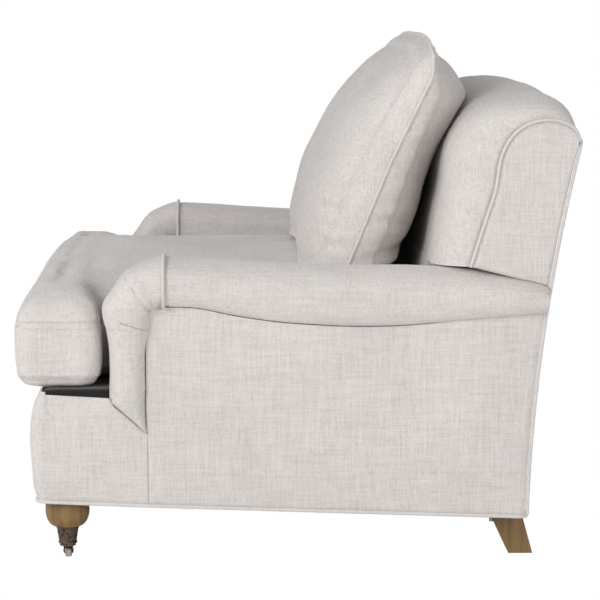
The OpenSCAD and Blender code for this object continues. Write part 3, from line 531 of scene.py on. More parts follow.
def bendRing(turn):
    a = radians(turn)
    outer, inner = smoothTable(turn / 90, bendOuter), smoothTable(turn / 90, bendInner)
    half, mid = (outer - inner) / 2, (outer + inner) / 2
    return [(dim.rollX - v, bendPivot[0] - (mid + u) * sin(a), bendPivot[1] + (mid + u) * cos(a))
            for u, v in oval(half, dim.rollHalf)]


def columnRing(share):
    z = lerp(bendPivot[1], dim.deckH + dim.gap, share)
    s = smoothTable((dim.pivotH - z) / (dim.pivotH - dim.deckH - dim.gap), columnShares)
    front = dim.columnY - s * knee["swell"]
    half = (dim.seamY + smoothTable(z, columnRear) - front) / 2
    halfW = lerp(knee["waist"] / 2, dim.rollHalf, min(1, s * 1.5))
    return [(dim.rollX - v, front + half - u, z) for u, v in oval(half, halfW)]


def apronRing(share):
    z = lerp(dim.deckH - 1, knee["apronLow"] + 2, share)
    down = max(0, (knee["apronTop"] - z) / (knee["apronTop"] - knee["apronLow"]))
    front = lerp(dim.columnY, dim.seamY, down)
    half = max((dim.seamY - 0.5 - front) / 2, 0.5)
    halfW = lerp(knee["waist"] / 2 + 1, knee["apronX"] - dim.rollX, share)
    return [(max(dim.rollX - v, dim.frameX + 0.3), front + half - u, z) for u, v in oval(half, halfW)]


def crease(y, z, start, end, depth, width):
    # How far a crease draws the cover in at a place of the side view
    along, off = besideLine((y, z), start, end)
    fade = clamp(along * 6 + 1) * (1 - clamp(along * 0.85)) ** 0.8
    swell = knee["fold"] / depth * 0.9 * bump(off - knee["foldWidth"] * 0.8, knee["foldWidth"])
    return depth * fade * (swell - bump(off, width))


def pleats(side, tree):
    # The fold lines of the bend: each a soft edge with a thin dark cord under it, painted shadow where the
    # fold shades the cover
    for k, (start, end, _, _) in enumerate(knee["creases"][:2]):
        for part, (radius, sink, drop, cloth) in pleatCords.items():
            route = []
            for i in range(25):
                t = 0.86 * i / 24
                y, z = lerp(start[0], end[0], t) + 0.3, lerp(start[1], end[1], t) + drop
                hit = tree.ray_cast(Vector((0.72 * side, y * mm, z * mm)), Vector((-side, 0, 0)))[0]
                best = abs(hit[0]) / mm if hit is not None else dim.rollX
                fade = sin(pi * min(1, (i + 1) / 8) / 2) * min(1, (24.5 - i) / 12)
                route.append(((best - sink - (1 - fade) * radius * 1.3) * side, y, z))
            name = "armPleat%d%s%s" % (k + 1, part, hand(side))
            dress(tube(name, rounded(route, 2), radius, seed=k + 3, step=2.5), cloth=cloth)


# The radius of a pleat's cord, how deep it sits, its drop under the crease and its cloth; the thin dark cord
# is painted shadow under the fold edge
pleatCords = {"Edge": (2.2, 1.2, 2.0, linenCloth), "Line": (0.8, 0.0, 0.0, pleatShadowCloth)}


def armFront(side):
    rings = [bendRing(90 * i / 84) for i in range(85)]
    rings += [columnRing(i / 60) for i in range(1, 61)]
    rings += [apronRing(i / 24) for i in range(25)]
    rings = [mirrored(r, side) for r in rings]
    obj = skin("armFront" + hand(side), rings, sharpAngle=70)

    def change(p, n):
        d = 0.0
        if p[2] > dim.deckH and p[1] < dim.seamY + 8:
            outer = 1 if (abs(p[0]) - dim.rollX) > -20 else 0.6
            for start, end, depth, width in knee["creases"]:
                d += outer * crease(p[1], p[2], start, end, depth, width)
        if p[2] > dim.deckH:
            d += knee["wrinkle"] * ripple((p[0] * 1.5, p[1], p[2]), 50, 7 * side)
        return d
    pushed(obj, change)
    dress(obj, "arm_front_" + cadHand(side))
    pleats(side, surfaceOf(obj))


welt = {"radius": 2.9, "sink": 0.6}


def armWelt(side):
    section = rollSection(dim.rollY, welt["radius"] - welt["sink"], 40)[1:-1]
    route = [(p[0] * side, dim.rollY + 1, p[1]) for p in section]
    obj = tube("armWelt" + hand(side), route, welt["radius"], seed=11, step=4)
    dress(obj, "arm_welt_" + cadHand(side), weltCloth)


# Outer side of an arm below the roll

panelPad = {"puff": 2.5, "roll": 4.0, "wrinkle": 1.1, "corner": 6, "cornerDrop": 3, "run": 660, "rise": 330}


def sidePanel(side):
    lastY = rearY(rollUnder(rearY(dim.rollSeatH)))

    def place(v, u):
        y = lerp(dim.seamY, 430, u)
        for _ in range(6):
            top = rollUnder(clamp(y, dim.rollY, lastY)) - 1
            # The cover's front upper corner is cut round, where the pleats turn in
            reach = clamp((y - dim.seamY) / panelPad["corner"])
            top -= panelPad["cornerDrop"] * (1 - sqrt(1 - (1 - reach) ** 2))
            z = lerp(baseZ(min(y, dim.footY)), top, v)
            y = lerp(dim.seamY - 1.5, rearY(z) - 1, u)
        edge = min(u * panelPad["run"] + 1, (1 - u) * panelPad["run"], v * panelPad["rise"] + 2)
        x = dim.sideX - panelPad["roll"] * bump(edge, 4) + panelPad["puff"] * (1 - bump(edge, 60))
        x += panelPad["wrinkle"] * ripple((0, y, z), 110, side) * (1 - bump(edge, 20))
        x += 0.5 * ripple((0, y * 0.4, z * 1.4), 30, side + 9) * (1 - bump(edge, 20))
        return (x * side, y, z)
    obj = sheetMesh("sidePanel" + hand(side), gridOf(100, 160, place),
                    lambda p: (dim.frameX * side + 0.3 * side, p[1], p[2]))
    dress(obj, "side_panel_" + cadHand(side))


# Padded border round the front of the base

borderShares = [(0, 0.25), (0.1, 0.65), (0.28, 0.85), (0.6, 1), (0.76, 0.9), (0.87, 0.7),
                (0.96, 0.35), (1, 0.05)]
border = {"corner": 8, "side": 10, "front": 20, "top": 4, "rise": 10, "ripple": 0.8}


def borderRing(x, y, turn, t, flat, top):
    bottom = baseZ(y)
    a = radians(turn)
    ring = [(x, y, bottom)]
    for k in range(40):
        s = k / 39
        d = t * lerp(smoothTable(s, borderShares), 1, flat * 0.8)
        d += border["ripple"] * ripple((x, y, lerp(bottom, top, s)), 60, 2)
        ring.append((x + d * cos(a), y + d * sin(a), lerp(bottom, top, s)))
    ring.append((x, y, top))
    return ring


def frontBorder():
    # Along the near side from its slanting end, round the corner and across; the far side mirrors it
    x, r, frontTop = dim.frameX, border["corner"], dim.deckH - border["top"]
    near = []
    for i in range(25):
        s = i / 24
        y = lerp(dim.seamY, dim.railY + r, s)
        if y < dim.columnY:
            top = knee["apronTop"] + border["top"] + border["rise"] * s
        else:
            top = lerp(knee["apronLow"], knee["apronTop"], (dim.seamY - y) / (dim.seamY - dim.columnY))
        near.append(borderRing(x, y, 0, border["side"], 1 - s, top))
    for i in range(1, 11):
        turn = -90 * i / 10
        a = radians(turn)
        near.append(borderRing(x - r + r * cos(a), dim.railY + r + r * sin(a), turn,
                               lerp(border["side"], border["front"], i / 10), 0, frontTop))
    across = [borderRing(lerp(x - r, r - x, i / 80), dim.railY, -90, border["front"], 0, frontTop)
              for i in range(1, 80)]
    obj = skin("frontBorder", near + across + [mirrored(ring) for ring in reversed(near)])
    dress(obj, "front_border")


# Back: a raked padded slab whose top and ends roll over

backForm = {"endR": 68, "endInset": 66, "endTaper": 18, "endDrop": 39, "crownDrop": 20, "topReach": 62,
            "endReach": 52, "curve": 0.85, "wrinkle": 1.8, "points": 90, "ease": 24, "rearPower": 0.68}
padSplit = ceil(rollTop(rearY(dim.armH) - dim.backT) + dim.gap)
shoulderH = lerp(padSplit, dim.edgeH + dim.crown, 0.51) - backForm["endDrop"] * 0.51


def backFront(thick, top, reach, taper=0.0):
    crestY = rearY(dim.edgeH) - reach
    shoulderY = rearY(shoulderH) - thick + taper
    line = []
    for i in range(25):
        z = lerp(padSplit, shoulderH, i / 24)
        line.append((rearY(z) - thick + taper * i / 24, z))
    for i in range(1, 33):
        a = pi / 2 * i / 32
        line.append((crestY - (crestY - shoulderY) * max(cos(a), 0) ** backForm["curve"],
                     lerp(shoulderH, top, sin(a) ** backForm["curve"])))
    for i in range(1, 15):
        a = pi / 2 * i / 14
        fall = max(0, cos(a)) ** backForm["rearPower"]
        line.append((crestY + reach * sin(a), lerp(dim.edgeH, top, fall)))
    pts = np.array(resample(line, count=backForm["points"]))
    for _ in range(backForm["ease"]):
        pts[1:-1] = pts[1:-1] * 0.5 + (pts[:-2] + pts[2:]) * 0.25
    return [(float(p[0]), float(p[1])) for p in pts]


def backRing(x):
    q = max(0, (abs(x) - dim.frameX + backForm["endR"]) / backForm["endR"])
    e = 1 - sqrt(max(0, 1 - q * q))
    top = dim.edgeH + dim.crown - backForm["crownDrop"] * (x / dim.frameX) ** 2 - backForm["endDrop"] * e
    front = backFront(dim.backT - backForm["endInset"] * e, top,
                      lerp(backForm["topReach"], backForm["endReach"], e), backForm["endTaper"] * e)
    rear = [(rearY(dim.edgeH) - backPad / 3, dim.edgeH), (rearY(dim.edgeH) - 2 * backPad / 3, dim.edgeH)]
    for i in range(21):
        z = lerp(dim.edgeH, padSplit, i / 20)
        rear.append((rearY(z) - backPad, z))
    return [(x, p[0], p[1]) for p in front + rear]


backPad = dim.panel + dim.postD + 2.8


def innerBack():
    core = (dim.frameX - backForm["endR"]) / dim.frameX
    stations = [(-1 + 2 * i / 60) * core for i in range(61)]
    curl = [core + (1 - core) * sin(pi / 2 * i / 14) for i in range(1, 15)]
    stations = [-c for c in reversed(curl)] + stations + curl
    obj = skin("innerBack", [backRing(s * (dim.frameX - 0.2)) for s in stations], sharpAngle=60)

    def change(p, n):
        d = backForm["wrinkle"] * ripple((p[0], p[1] * 1.4, p[2] * 1.4), 120, 21)
        d += 0.6 * ripple(p, 35, 22)
        return d - 0.8
    pushed(obj, change)
    low = dim.seatX - 1
    heights = [lerp(padSplit + 1, dim.deckH, i / 20) for i in range(21)]
    front = [(rearY(z) - dim.backT, z) for z in heights]
    rear = [(rearY(z) - backPad - 1, z) for z in reversed(heights)]
    lower = skin("innerBackLow", [[(x, y, z) for y, z in front + rear] for x in np.linspace(-low, low, 40)])
    dress(obj, "inner_back")
    dress(lower)
    lower.parent = obj
    lower.matrix_parent_inverse = Matrix.Identity(4)


backEnd = {"roll": 4.5, "rollWidth": 3.5, "gap": 1.4, "puff": 1.2}


def endOutline(grow):
    # Outline of the back's end face, from the split below over the top to the rear edge
    top = dim.edgeH + dim.crown - backForm["crownDrop"] - backForm["endDrop"] + grow
    return backFront(dim.backT - backForm["endInset"] + grow, top, backForm["endReach"], backForm["endTaper"])


def backSide(side):
    front = endOutline(-backEnd["gap"])
    cap = sqrt(1 - ((dim.frameX - dim.rollX) / dim.rollHalf) ** 2)

    def rollCap(y):
        return lerp((rollTop(y) + rollUnder(y)) / 2, rollTop(y), cap) + dim.gap
    foot1 = rearY(dim.rollSeatH + 50)
    rear = [(rearY(z) - backEnd["gap"], z) for z in np.linspace(rollCap(foot1), dim.edgeH - 2, len(front))]
    cols = 50
    grid = []
    for i, (a, b) in enumerate(zip(front, rear)):
        span = hypot(b[0] - a[0], b[1] - a[1])
        row = []
        for j in range(cols + 1):
            t = 0.5 - 0.5 * cos(pi * j / cols)
            y, z = lerp(a[0], b[0], t), lerp(a[1], b[1], t)
            z = max(z, rollCap(y)) if i == 0 else z
            edge = min(span * t, span * (1 - t), i * 6.0)
            x = dim.sideX + 0.6 - backEnd["roll"] * bump(edge, backEnd["rollWidth"])
            x += backEnd["puff"] * ripple((0, y, z), 90, 15) * min(1, edge / 30)
            row.append((x * side, y, z))
        grid.append(row)
    obj = sheetMesh("backSide" + hand(side), grid, lambda p: ((dim.frameX - 4) * side, p[1], p[2]))
    dress(obj, "back_side_" + cadHand(side))


def backSideWelt(side):
    route = [((dim.sideX - 3.5) * side, y, z) for y, z in endOutline(welt["radius"] - welt["sink"])]
    obj = tube("backSideWelt" + hand(side), route, welt["radius"], seed=5)
    dress(obj, "back_side_welt_" + cadHand(side), weltCloth)


def outsideBack():
    def place(v, u):
        x = lerp(-dim.frameX, dim.frameX, u)
        z = lerp(baseZ(dim.footY - 10), dim.edgeH, v)
        rise = dim.edgeH - dim.baseRearH
        edge = min(min(u, 1 - u) * 2 * dim.frameX, v * rise + 3, (1 - v) * rise)
        y = rearY(z) - 4 * bump(edge, 5) + 1.0 * (1 - bump(edge, 60)) * ripple((x, 0, z), 150, 4)
        return (x, y - 0.5, z)
    obj = sheetMesh("outsideBack", gridOf(70, 120, place), lambda p: (p[0], rearY(p[2]) - 9.6, p[2]))
    dress(obj, "outside_back")


def backWelt():
    r, x = welt["radius"] - welt["sink"], dim.sideX - 3.5
    up = [(x, rearY(z) + r, z) for z in np.linspace(dim.baseRearH + 5, dim.edgeH - 14, 50)]
    over = [(x - 2, rearY(dim.edgeH - 6) + r, dim.edgeH - 6), (x - 10, rearY(dim.edgeH) + r, dim.edgeH + 1)]
    obj = tube("backWelt", up + over + mirrored(reversed(up + over)), welt["radius"], seed=6, step=7)
    dress(obj, "back_welt", weltCloth)


def baseWelt():
    r, low = welt["radius"] - welt["sink"], welt["radius"]
    corner = []
    for i in range(13):
        s = i / 12
        a = pi / 2 * s
        out = border["corner"] + r + 0.4 * lerp(border["side"], border["front"], s)
        y = dim.railY + border["corner"] - out * sin(a)
        corner.append((dim.frameX - border["corner"] + out * cos(a), y, baseZ(max(y, dim.railY)) + low))
    x = dim.sideX + r
    half = [(x - 3, dim.footY + r, baseZ(dim.footY) + low), (x, dim.footY - 2, baseZ(dim.footY) + low),
            (x, dim.seamY, baseZ(dim.seamY) + low)] + corner
    route = resample(half + mirrored(reversed(half)), 8, True)
    obj = tube("baseWelt", rounded(route, 2, True), welt["radius"] + 0.3, True, 7, 8)
    dress(obj, "base_welt", weltCloth)


for side in (1, -1):
    armRoll(side)
    armFront(side)
    armWelt(side)
    sidePanel(side)
    backSide(side)
    backSideWelt(side)
print("arms made")
frontBorder()
innerBack()
outsideBack()
backWelt()
baseWelt()
print("back and base made")


# Cushions

def inMillimetres(corners):
    return [[c / mm for c in corner] for corner in corners]


def coords(mesh, key="co"):
    out = np.zeros(len(mesh.vertices) * 3, np.float32)
    mesh.vertices.foreach_get(key, out)
    return out.reshape(-1, 3)


def clothInflate(obj, look, pin=None):
    # Swells a closed mesh with the cloth solver. A point goes no further than cap; swell holds the
    # furthest it goes outwards, inwards and along the cloth, eased so that no limit shows as an edge.
    frames = 20
    start, normals = coords(obj.data), coords(obj.data, "normal")
    cloth = obj.modifiers.new("cloth", "CLOTH")
    settings = cloth.settings
    settings.quality = 5
    settings.mass = 0.25
    settings.tension_stiffness = look["stiffness"]
    settings.compression_stiffness = look["stiffness"]
    settings.shear_stiffness = 4
    settings.bending_stiffness = 0.6
    settings.use_pressure = True
    settings.uniform_pressure_force = look["pressure"]
    settings.effector_weights.gravity = 0
    cloth.collision_settings.use_collision = False
    if pin:
        settings.vertex_group_mass = pin
        settings.pin_stiffness = 1.0
    cloth.point_cache.frame_start = 1
    cloth.point_cache.frame_end = frames
    for f in range(1, frames + 1):
        bpy.context.scene.frame_set(f)
    settled = bpy.data.meshes.new_from_object(obj.evaluated_get(bpy.context.evaluated_depsgraph_get()))
    step = coords(settled) - start
    bpy.data.meshes.remove(settled)
    far = np.linalg.norm(step, axis=1, keepdims=True)
    step *= np.minimum(1, look["cap"] * mm / np.maximum(far, 1e-9))
    rise = np.sum(step * normals, axis=1, keepdims=True)
    along = step - rise * normals
    outward, inward, sideways = [c * mm for c in look["swell"]]
    rise = np.where(rise > 0, outward * np.tanh(rise / outward), inward * np.tanh(rise / inward))
    length = np.maximum(np.linalg.norm(along, axis=1, keepdims=True), 1e-9)
    step = rise * normals + along / length * sideways * np.tanh(length / sideways)
    obj.modifiers.clear()
    obj.data.vertices.foreach_set("co", (start + step).ravel())
    obj.data.update()
    bpy.context.scene.frame_set(1)


def subdivided(obj):
    mod = obj.modifiers.new("sub", "SUBSURF")
    mod.levels = mod.render_levels = 1
    applied(obj)


def remeshed(obj, voxel, passes):
    mod = obj.modifiers.new("remesh", "REMESH")
    mod.mode = "VOXEL"
    mod.voxel_size = voxel * mm
    soft = obj.modifiers.new("smooth", "SMOOTH")
    soft.factor = 0.5
    soft.iterations = passes
    return applied(obj)


def onSurface(tree, p, lift):
    place, normal, _, _ = tree.find_nearest(Vector([c * mm for c in p]))
    return np.array([c / mm for c in place]) + np.array(normal) * lift


seat = {
    "z0": 302, "thick": 156, "crown": 34, "stemHalf": 497, "earHalf": 619, "earDepth": 142, "stemIn": 56,
    "stemRound": 60, "earRound": 56, "corner": 30, "draw": 4, "voxel": 10, "soften": 9,
    # swell: how far the cloth goes outwards, inwards and along itself
    "shrink": 2.0, "pressure": 4.0, "cap": 22, "swell": (6, 1, 3), "stiffness": 10,
    "seams": (112, 15), "seamDepth": 1.6, "seamWidth": 3.4, "seamLip": 0.7, "forward": 8,
    "stitch": {"spacing": 4.4, "length": 3.2, "thread": 0.5, "apart": 4.0, "seed": 12},
}
seatRearY = rearY(dim.deckH) - dim.backT - 3
# Each row is a ring's inset, its height, and how much of the crown it takes, as shares
stemRows = [(1, 0, 0), (0.5, 0.0, 0), (0.27, 0.01, 0), (0.07, 0.06, 0), (0, 0.2, 0), (0, 0.42, 0),
            (0.02, 0.6, 0.1), (0.18, 0.8, 0.32), (0.5, 0.955, 0.74), (0.9, 0.995, 0.95), (1.5, 1, 1)]
earRows = [(0.7, 0, 0), (0.33, 0.01, 0), (0.13, 0.08, 0), (0.05, 0.17, 0), (0, 0.35, 0), (0.02, 0.64, 0.05),
           (0.06, 0.77, 0.3), (0.17, 0.875, 0.55), (0.38, 0.95, 0.78), (0.62, 1, 0.94), (1.03, 1.01, 1)]


def cushionRing(a, b, r, y0, z, lift, wide):
    # A rectangle with round corners and sides drawn in at their middles, crowned from side to side
    corners = ((a - r, b - r, 0), (r - a, b - r, 90), (r - a, r - b, 180), (a - r, r - b, 270))
    flat = []
    for k, (cx, cy, start) in enumerate(corners):
        for i in range(13):
            turn = radians(start + 90 * i / 12)
            flat.append((cx + r * cos(turn), cy + r * sin(turn)))
        span, other = (a - r, b) if k % 2 == 0 else (b - r, a)
        for i in range(1, 40):
            t = 1 - 2 * i / 40
            line = (t * span, other - seat["draw"] * (1 - t * t))
            flat.append([line, (-line[1], line[0]), (-line[0], -line[1]), (line[1], -line[0])][k])
    return [(x, y0 + y, z + lift * (1 - (x / wide) ** 2)) for x, y in flat]


def cushionBar(name, a, y0, y1, table, size):
    rings = []
    b = (y1 - y0) / 2
    for inset, height, lift in table:
        d = inset * size
        rings.append(cushionRing(a - d, b - d, max(seat["corner"] - d / 2, seat["corner"] / 4), (y0 + y1) / 2,
                                 seat["z0"] + height * seat["thick"], lift * seat["crown"], a))
    return skin(name, rings)


def seatOutline():
    # Outline of the T-shaped seat, from above
    ex, sx, corner = seat["earHalf"], seat["stemHalf"], seat["corner"]
    y0, y1, y2 = dim.frontY, dim.frontY + seat["earDepth"], seatRearY

    def arc(cx, cy, r, a0, a1, n=8):
        turns = [radians(lerp(a0, a1, i / n)) for i in range(n + 1)]
        return [(cx + r * cos(t), cy + r * sin(t)) for t in turns]
    right = arc(ex - corner, y0 + corner, corner, -90, 0) + arc(ex - corner, y1 - corner, corner, 0, 90)
    right += [(sx + 4, y1), (sx, y1 + 4)] + arc(sx - corner, y2 - corner, corner, 0, 90)
    return right + [(-p[0], p[1]) for p in reversed(right)]


def seatCushion():
    stem = cushionBar("seatCushion", seat["stemHalf"], dim.frontY + seat["stemIn"], seatRearY, stemRows,
                      seat["stemRound"])
    ears = cushionBar("seatEars", seat["earHalf"], dim.frontY - seat["forward"],
                      dim.frontY + seat["earDepth"], earRows, seat["earRound"])
    bm = bmesh.new()
    bm.from_mesh(stem.data)
    bm.from_mesh(ears.data)
    bm.to_mesh(stem.data)
    bm.free()
    bpy.data.objects.remove(ears)
    obj = remeshed(stem, seat["voxel"], seat["soften"])
    pushed(obj, lambda p, n: -seat["shrink"])
    clothInflate(obj, seat)
    lo, hi = inMillimetres(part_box("seat_cushion"))

    def fit(p, n):
        # Kept within its own box, and flat underneath where it rests on the deck
        return [clamp(p[0], lo[0] + 0.5, hi[0] - 0.5), max(p[1], lo[1] - 8), max(p[2], lo[2])]
    moved(obj, fit)
    subdivided(obj)

    def seams(p, n):
        d = 0.0
        wall = clamp((1 - abs(n[2])) * 2.2)
        for k, h in enumerate(seat["seams"]):
            line = p[2] - seat["z0"] - h
            d -= seat["seamDepth"] * wall * bump(line, seat["seamWidth"])
            d += seat["seamLip"] * wall * (bump(line - 8, 5) + bump(line + 8, 5))
            d += 1.6 * wall * bump(line, 12) * ripple((p[0] * 1.6, p[1] * 1.6, h), 26, k + 3)
        d += 1.8 * ripple((p[0], p[1], p[2] * 1.5), 140, 31) + 0.6 * ripple(p, 42, 32)
        return d
    pushed(obj, seams)
    dress(obj, "seat_cushion", body="seat_cushion")
    tree = surfaceOf(obj)
    outline = resample([(x, y, 0) for x, y in seatOutline()], 8, True)
    lines = []
    for h in seat["seams"]:
        for off in (-seat["stitch"]["apart"], seat["stitch"]["apart"]):
            height = seat["z0"] + h + off
            lines.append([onSurface(tree, (p[0] * 1.01, p[1], height), 0.2) for p in outline])
    return lines


def stitchTree(look):
    # Stitches along the edges of a mesh: evenly spaced, each a short length of thread
    tree = bpy.data.node_groups.new("seamStitches", "GeometryNodeTree")
    tree.interface.new_socket("Geometry", in_out="INPUT", socket_type="NodeSocketGeometry")
    for name, key in (("Spacing", "spacing"), ("Stitch Length", "length"), ("Thread", "thread")):
        socket = tree.interface.new_socket(name, in_out="INPUT", socket_type="NodeSocketFloat")
        socket.default_value = look[key] * mm
    seed = tree.interface.new_socket("Seed", in_out="INPUT", socket_type="NodeSocketInt")
    seed.default_value = look["seed"]
    tree.interface.new_socket("Geometry", in_out="OUTPUT", socket_type="NodeSocketGeometry")
    source = addNode(tree, "NodeGroupInput", {}).outputs
    curve = addNode(tree, "GeometryNodeMeshToCurve", {"Mesh": source["Geometry"]}).outputs
    points = addNode(tree, "GeometryNodeCurveToPoints", {
        "Curve": curve["Curve"], "Length": source["Spacing"]}, mode="LENGTH").outputs
    thread = addNode(tree, "GeometryNodeMeshCylinder", {
        "Vertices": 5, "Radius": source["Thread"], "Depth": source["Stitch Length"]}).outputs
    align = addNode(tree, "FunctionNodeAlignRotationToVector", {
        "Vector": points["Tangent"]}, axis="Z").outputs
    vary = addNode(tree, "FunctionNodeRandomValue", {
        2: 0.85, 3: 1.1, "Seed": source["Seed"]}, data_type="FLOAT").outputs
    place = addNode(tree, "GeometryNodeInstanceOnPoints", {
        "Points": points["Points"], "Instance": thread["Mesh"], "Rotation": align["Rotation"],
        "Scale": vary[1]}).outputs
    real = addNode(tree, "GeometryNodeRealizeInstances", {"Geometry": place["Instances"]}).outputs
    paint = addNode(tree, "GeometryNodeSetMaterial", {
        "Geometry": real["Geometry"], "Material": threadCloth}).outputs
    addNode(tree, "NodeGroupOutput", {"Geometry": paint["Geometry"]})
    return tree


def seatStitches(lines):
    verts, edges = [], []
    for line in lines:
        base = len(verts)
        verts += [[c * mm for c in p] for p in line]
        edges += [(base + i, base + (i + 1) % len(line)) for i in range(len(line))]
    mesh = bpy.data.meshes.new("seatStitches")
    mesh.from_pydata(verts, edges, [])
    obj = newObject("seatStitches", mesh)
    obj.modifiers.new("stitches", "NODES").node_group = stitchTree(seat["stitch"])
    applied(obj, smooth=False)
    dress(obj, cloth=threadCloth, body="seat_cushion")


# Knife-edged back cushion: two sheets that meet in a seam
sliceShares = [0, 0.04, 0.12, 0.25, 0.4, 0.55, 0.67, 0.76, 0.84, 0.9, 0.95, 0.98, 1]
frontShares = [0.62, 0.69, 0.83, 0.915, 0.985, 0.96, 0.9, 0.81, 0.69, 0.56, 0.32, 0.13, 0]
rearShares = [0.6, 0.85, 0.97, 1, 0.92, 0.92, 1.03, 0.98, 0.7, 0.42, 0.16, 0.06, 0]
pillow = {
    "width": 960, "height": 404, "front": 130, "rear": 110, "lean": 0.415, "foot": 137, "cornerDrop": 32,
    "curl": 1, "upright": 0.9, "waist": 10, "endPower": 8, "roundPower": 0.6, "restGap": 0.8,
    "startShare": 0.985, "pressure": 4.0, "cap": 24, "swell": (7, 2, 3), "stiffness": 14,
    "columns": 110, "rows": 56, "pucker": 2.4, "puckerSize": 15,
}
seatTop = dim.deckH + dim.gap + seat["thick"] + seat["crown"]


def pillowHalf(share):
    return pillow["width"] / 2 - pillow["waist"] * (1 - (2 * share - 1) ** 2)


def pillowPoint(share, across, swell):
    x = pillowHalf(share) * across
    sag = seat["crown"] * (x / seat["stemHalf"]) ** 2 * (1 - share)
    corner = abs(across) ** pillow["endPower"]
    full = max(0, 1 - corner) ** pillow["roundPower"]
    upright = pillow["upright"]
    curl = pillow["curl"] * corner * max(0, share - upright) / (1 - upright)
    rise = min(share, upright) * pillow["height"] - sag
    y = rearY(seatTop) - dim.backT - pillow["foot"] + pillow["lean"] * rise - curl + swell * full
    z = seatTop + pillow["restGap"] + share * pillow["height"] - sag
    z -= pillow["cornerDrop"] * abs(across) ** 4 * max(0, 2 * share - 1)
    return (x, y, z)


def shareAt(p):
    # How far up the cushion a point is, with its sunken foot and dropped corners allowed for
    u = min(1, abs(p[0]) / pillow["width"] * 2)
    sag = seat["crown"] * (p[0] / seat["stemHalf"]) ** 2
    drop = pillow["cornerDrop"] * u ** 4
    rise = p[2] - seatTop - pillow["restGap"]
    share = (rise + sag) / (pillow["height"] + sag)
    if share > 0.5:
        share = (rise + sag - drop) / (pillow["height"] + sag - 2 * drop)
    return clamp(share)


def pillowSkin(share, across, front):
    swell = smoothTable(share, list(zip(sliceShares, frontShares if front else rearShares)))
    return pillowPoint(share, across, max(0, swell) * (-pillow["front"] if front else pillow["rear"]))


def backCushion():
    nu, nv = pillow["columns"], pillow["rows"]
    us = [copysign(1 - (1 - abs(t)) ** 1.6, t) for t in np.linspace(-1, 1, nu + 1)]
    vs = [lerp(s, 1 - (1 - s) ** 1.7, 0.8) for s in np.linspace(0, 1, nv + 1)]
    verts, faces = [], []

    def sheet(front):
        base = len(verts)
        for v in vs:
            for u in us:
                verts.append(pillowSkin(v, u, front))
        for i in range(nv):
            for j in range(nu):
                a = base + i * (nu + 1) + j
                faces.append((a, a + 1, a + nu + 2, a + nu + 1))
        return base
    frontBase, rearBase = sheet(True), sheet(False)
    rows = 12
    last = [frontBase + j for j in range(nu + 1)]
    for k in range(1, rows + 1):
        if k == rows:
            row = [rearBase + j for j in range(nu + 1)]
        else:
            row = []
            for j in range(nu + 1):
                a, b = np.array(verts[frontBase + j]), np.array(verts[rearBase + j])
                verts.append(tuple(a + (b - a) * k / rows))
                row.append(len(verts) - 1)
        for j in range(nu):
            faces.append((last[j], row[j], row[j + 1], last[j + 1]))
        last = row
    obj = makeMesh("backCushion", verts, faces, sharpAngle=180)
    held = obj.vertex_groups.new(name="held")
    for v in obj.data.vertices:
        p = [c / mm for c in v.co]
        share = shareAt(p)
        toSeam = min(pillowHalf(share) - abs(p[0]), (1 - share) * pillow["height"])
        hold = max(1 - toSeam / 25, 0.9 if share < 0.01 else 0)
        if hold > 0:
            held.add([v.index], min(1, hold), "REPLACE")

    def flatter(p, n):
        middle = pillowPoint(shareAt(p), clamp(p[0] / pillowHalf(shareAt(p)), -1, 1), 0)[1]
        return [p[0], middle + (p[1] - middle) * pillow["startShare"], p[2]]
    # Starts flatter than the finished shape, and swells back to it
    moved(obj, flatter)
    clothInflate(obj, pillow, "held")
    settle(obj)
    subdivided(obj)
    puckers(obj)
    dress(obj, "back_cushion", body="back_cushion")


def backFace(z):
    # Front face of the inner back at the middle, from its outline
    line = backFront(dim.backT, dim.edgeH + dim.crown, backForm["topReach"])
    ys, zs = [p[0] for p in line[:57]], [p[1] for p in line[:57]]
    return float(np.interp(z, zs, ys))


def settle(obj):
    # Keeps the cushion in front of the back and on top of the seat
    faceAt = {z: backFace(z) for z in range(430, 830)}

    def change(p, n):
        z = clamp(int(p[2]), 430, 829)
        limit = faceAt[z] - 1.5 if p[2] < 790 else 1e9
        floor = seatTop + pillow["restGap"] - seat["crown"] * (p[0] / seat["stemHalf"]) ** 2
        return [p[0], min(p[1], limit), max(p[2], floor)]
    moved(obj, change)


# Folds of the back cushion: where each starts and ends in X and Z, on which face, its depth and width
foldLines = [
    ((470, 498), (330, 512), -1, 9.0, 9), ((474, 560), (395, 548), -1, 2.6, 9),
    ((472, 590), (400, 600), -1, 2.2, 10), ((470, 640), (405, 632), -1, 2.0, 9),
    ((468, 690), (420, 700), -1, 1.8, 9), ((474, 545), (420, 560), 1, 3.4, 8),
    ((473, 575), (400, 585), 1, 3.0, 9), ((471, 612), (415, 612), 1, 2.8, 9),
    ((470, 650), (425, 655), 1, 2.6, 9), ((468, 700), (430, 694), 1, 2.0, 10),
    ((462, 872), (380, 858), -1, 3.0, 9), ((440, 888), (350, 872), -1, 2.2, 11),
]


def folds(p, n):
    d = 0.0
    for start, end, face, depth, width in foldLines:
        if n[1] * face < 0.05:
            continue
        along, off = besideLine((abs(p[0]), p[2]), start, end)
        if -0.15 < along < 1.1 and abs(off) < 40:
            fade = sin(pi * clamp((along + 0.15) / 1.25)) ** 0.7
            d -= depth * fade * (bump(off, width) - 0.7 * bump(off - width * 1.7, width))
    return d


def gathers(toSeam, place, seed):
    return pillow["pucker"] * bump(toSeam - 9, 16) * ripple(place, pillow["puckerSize"], seed)


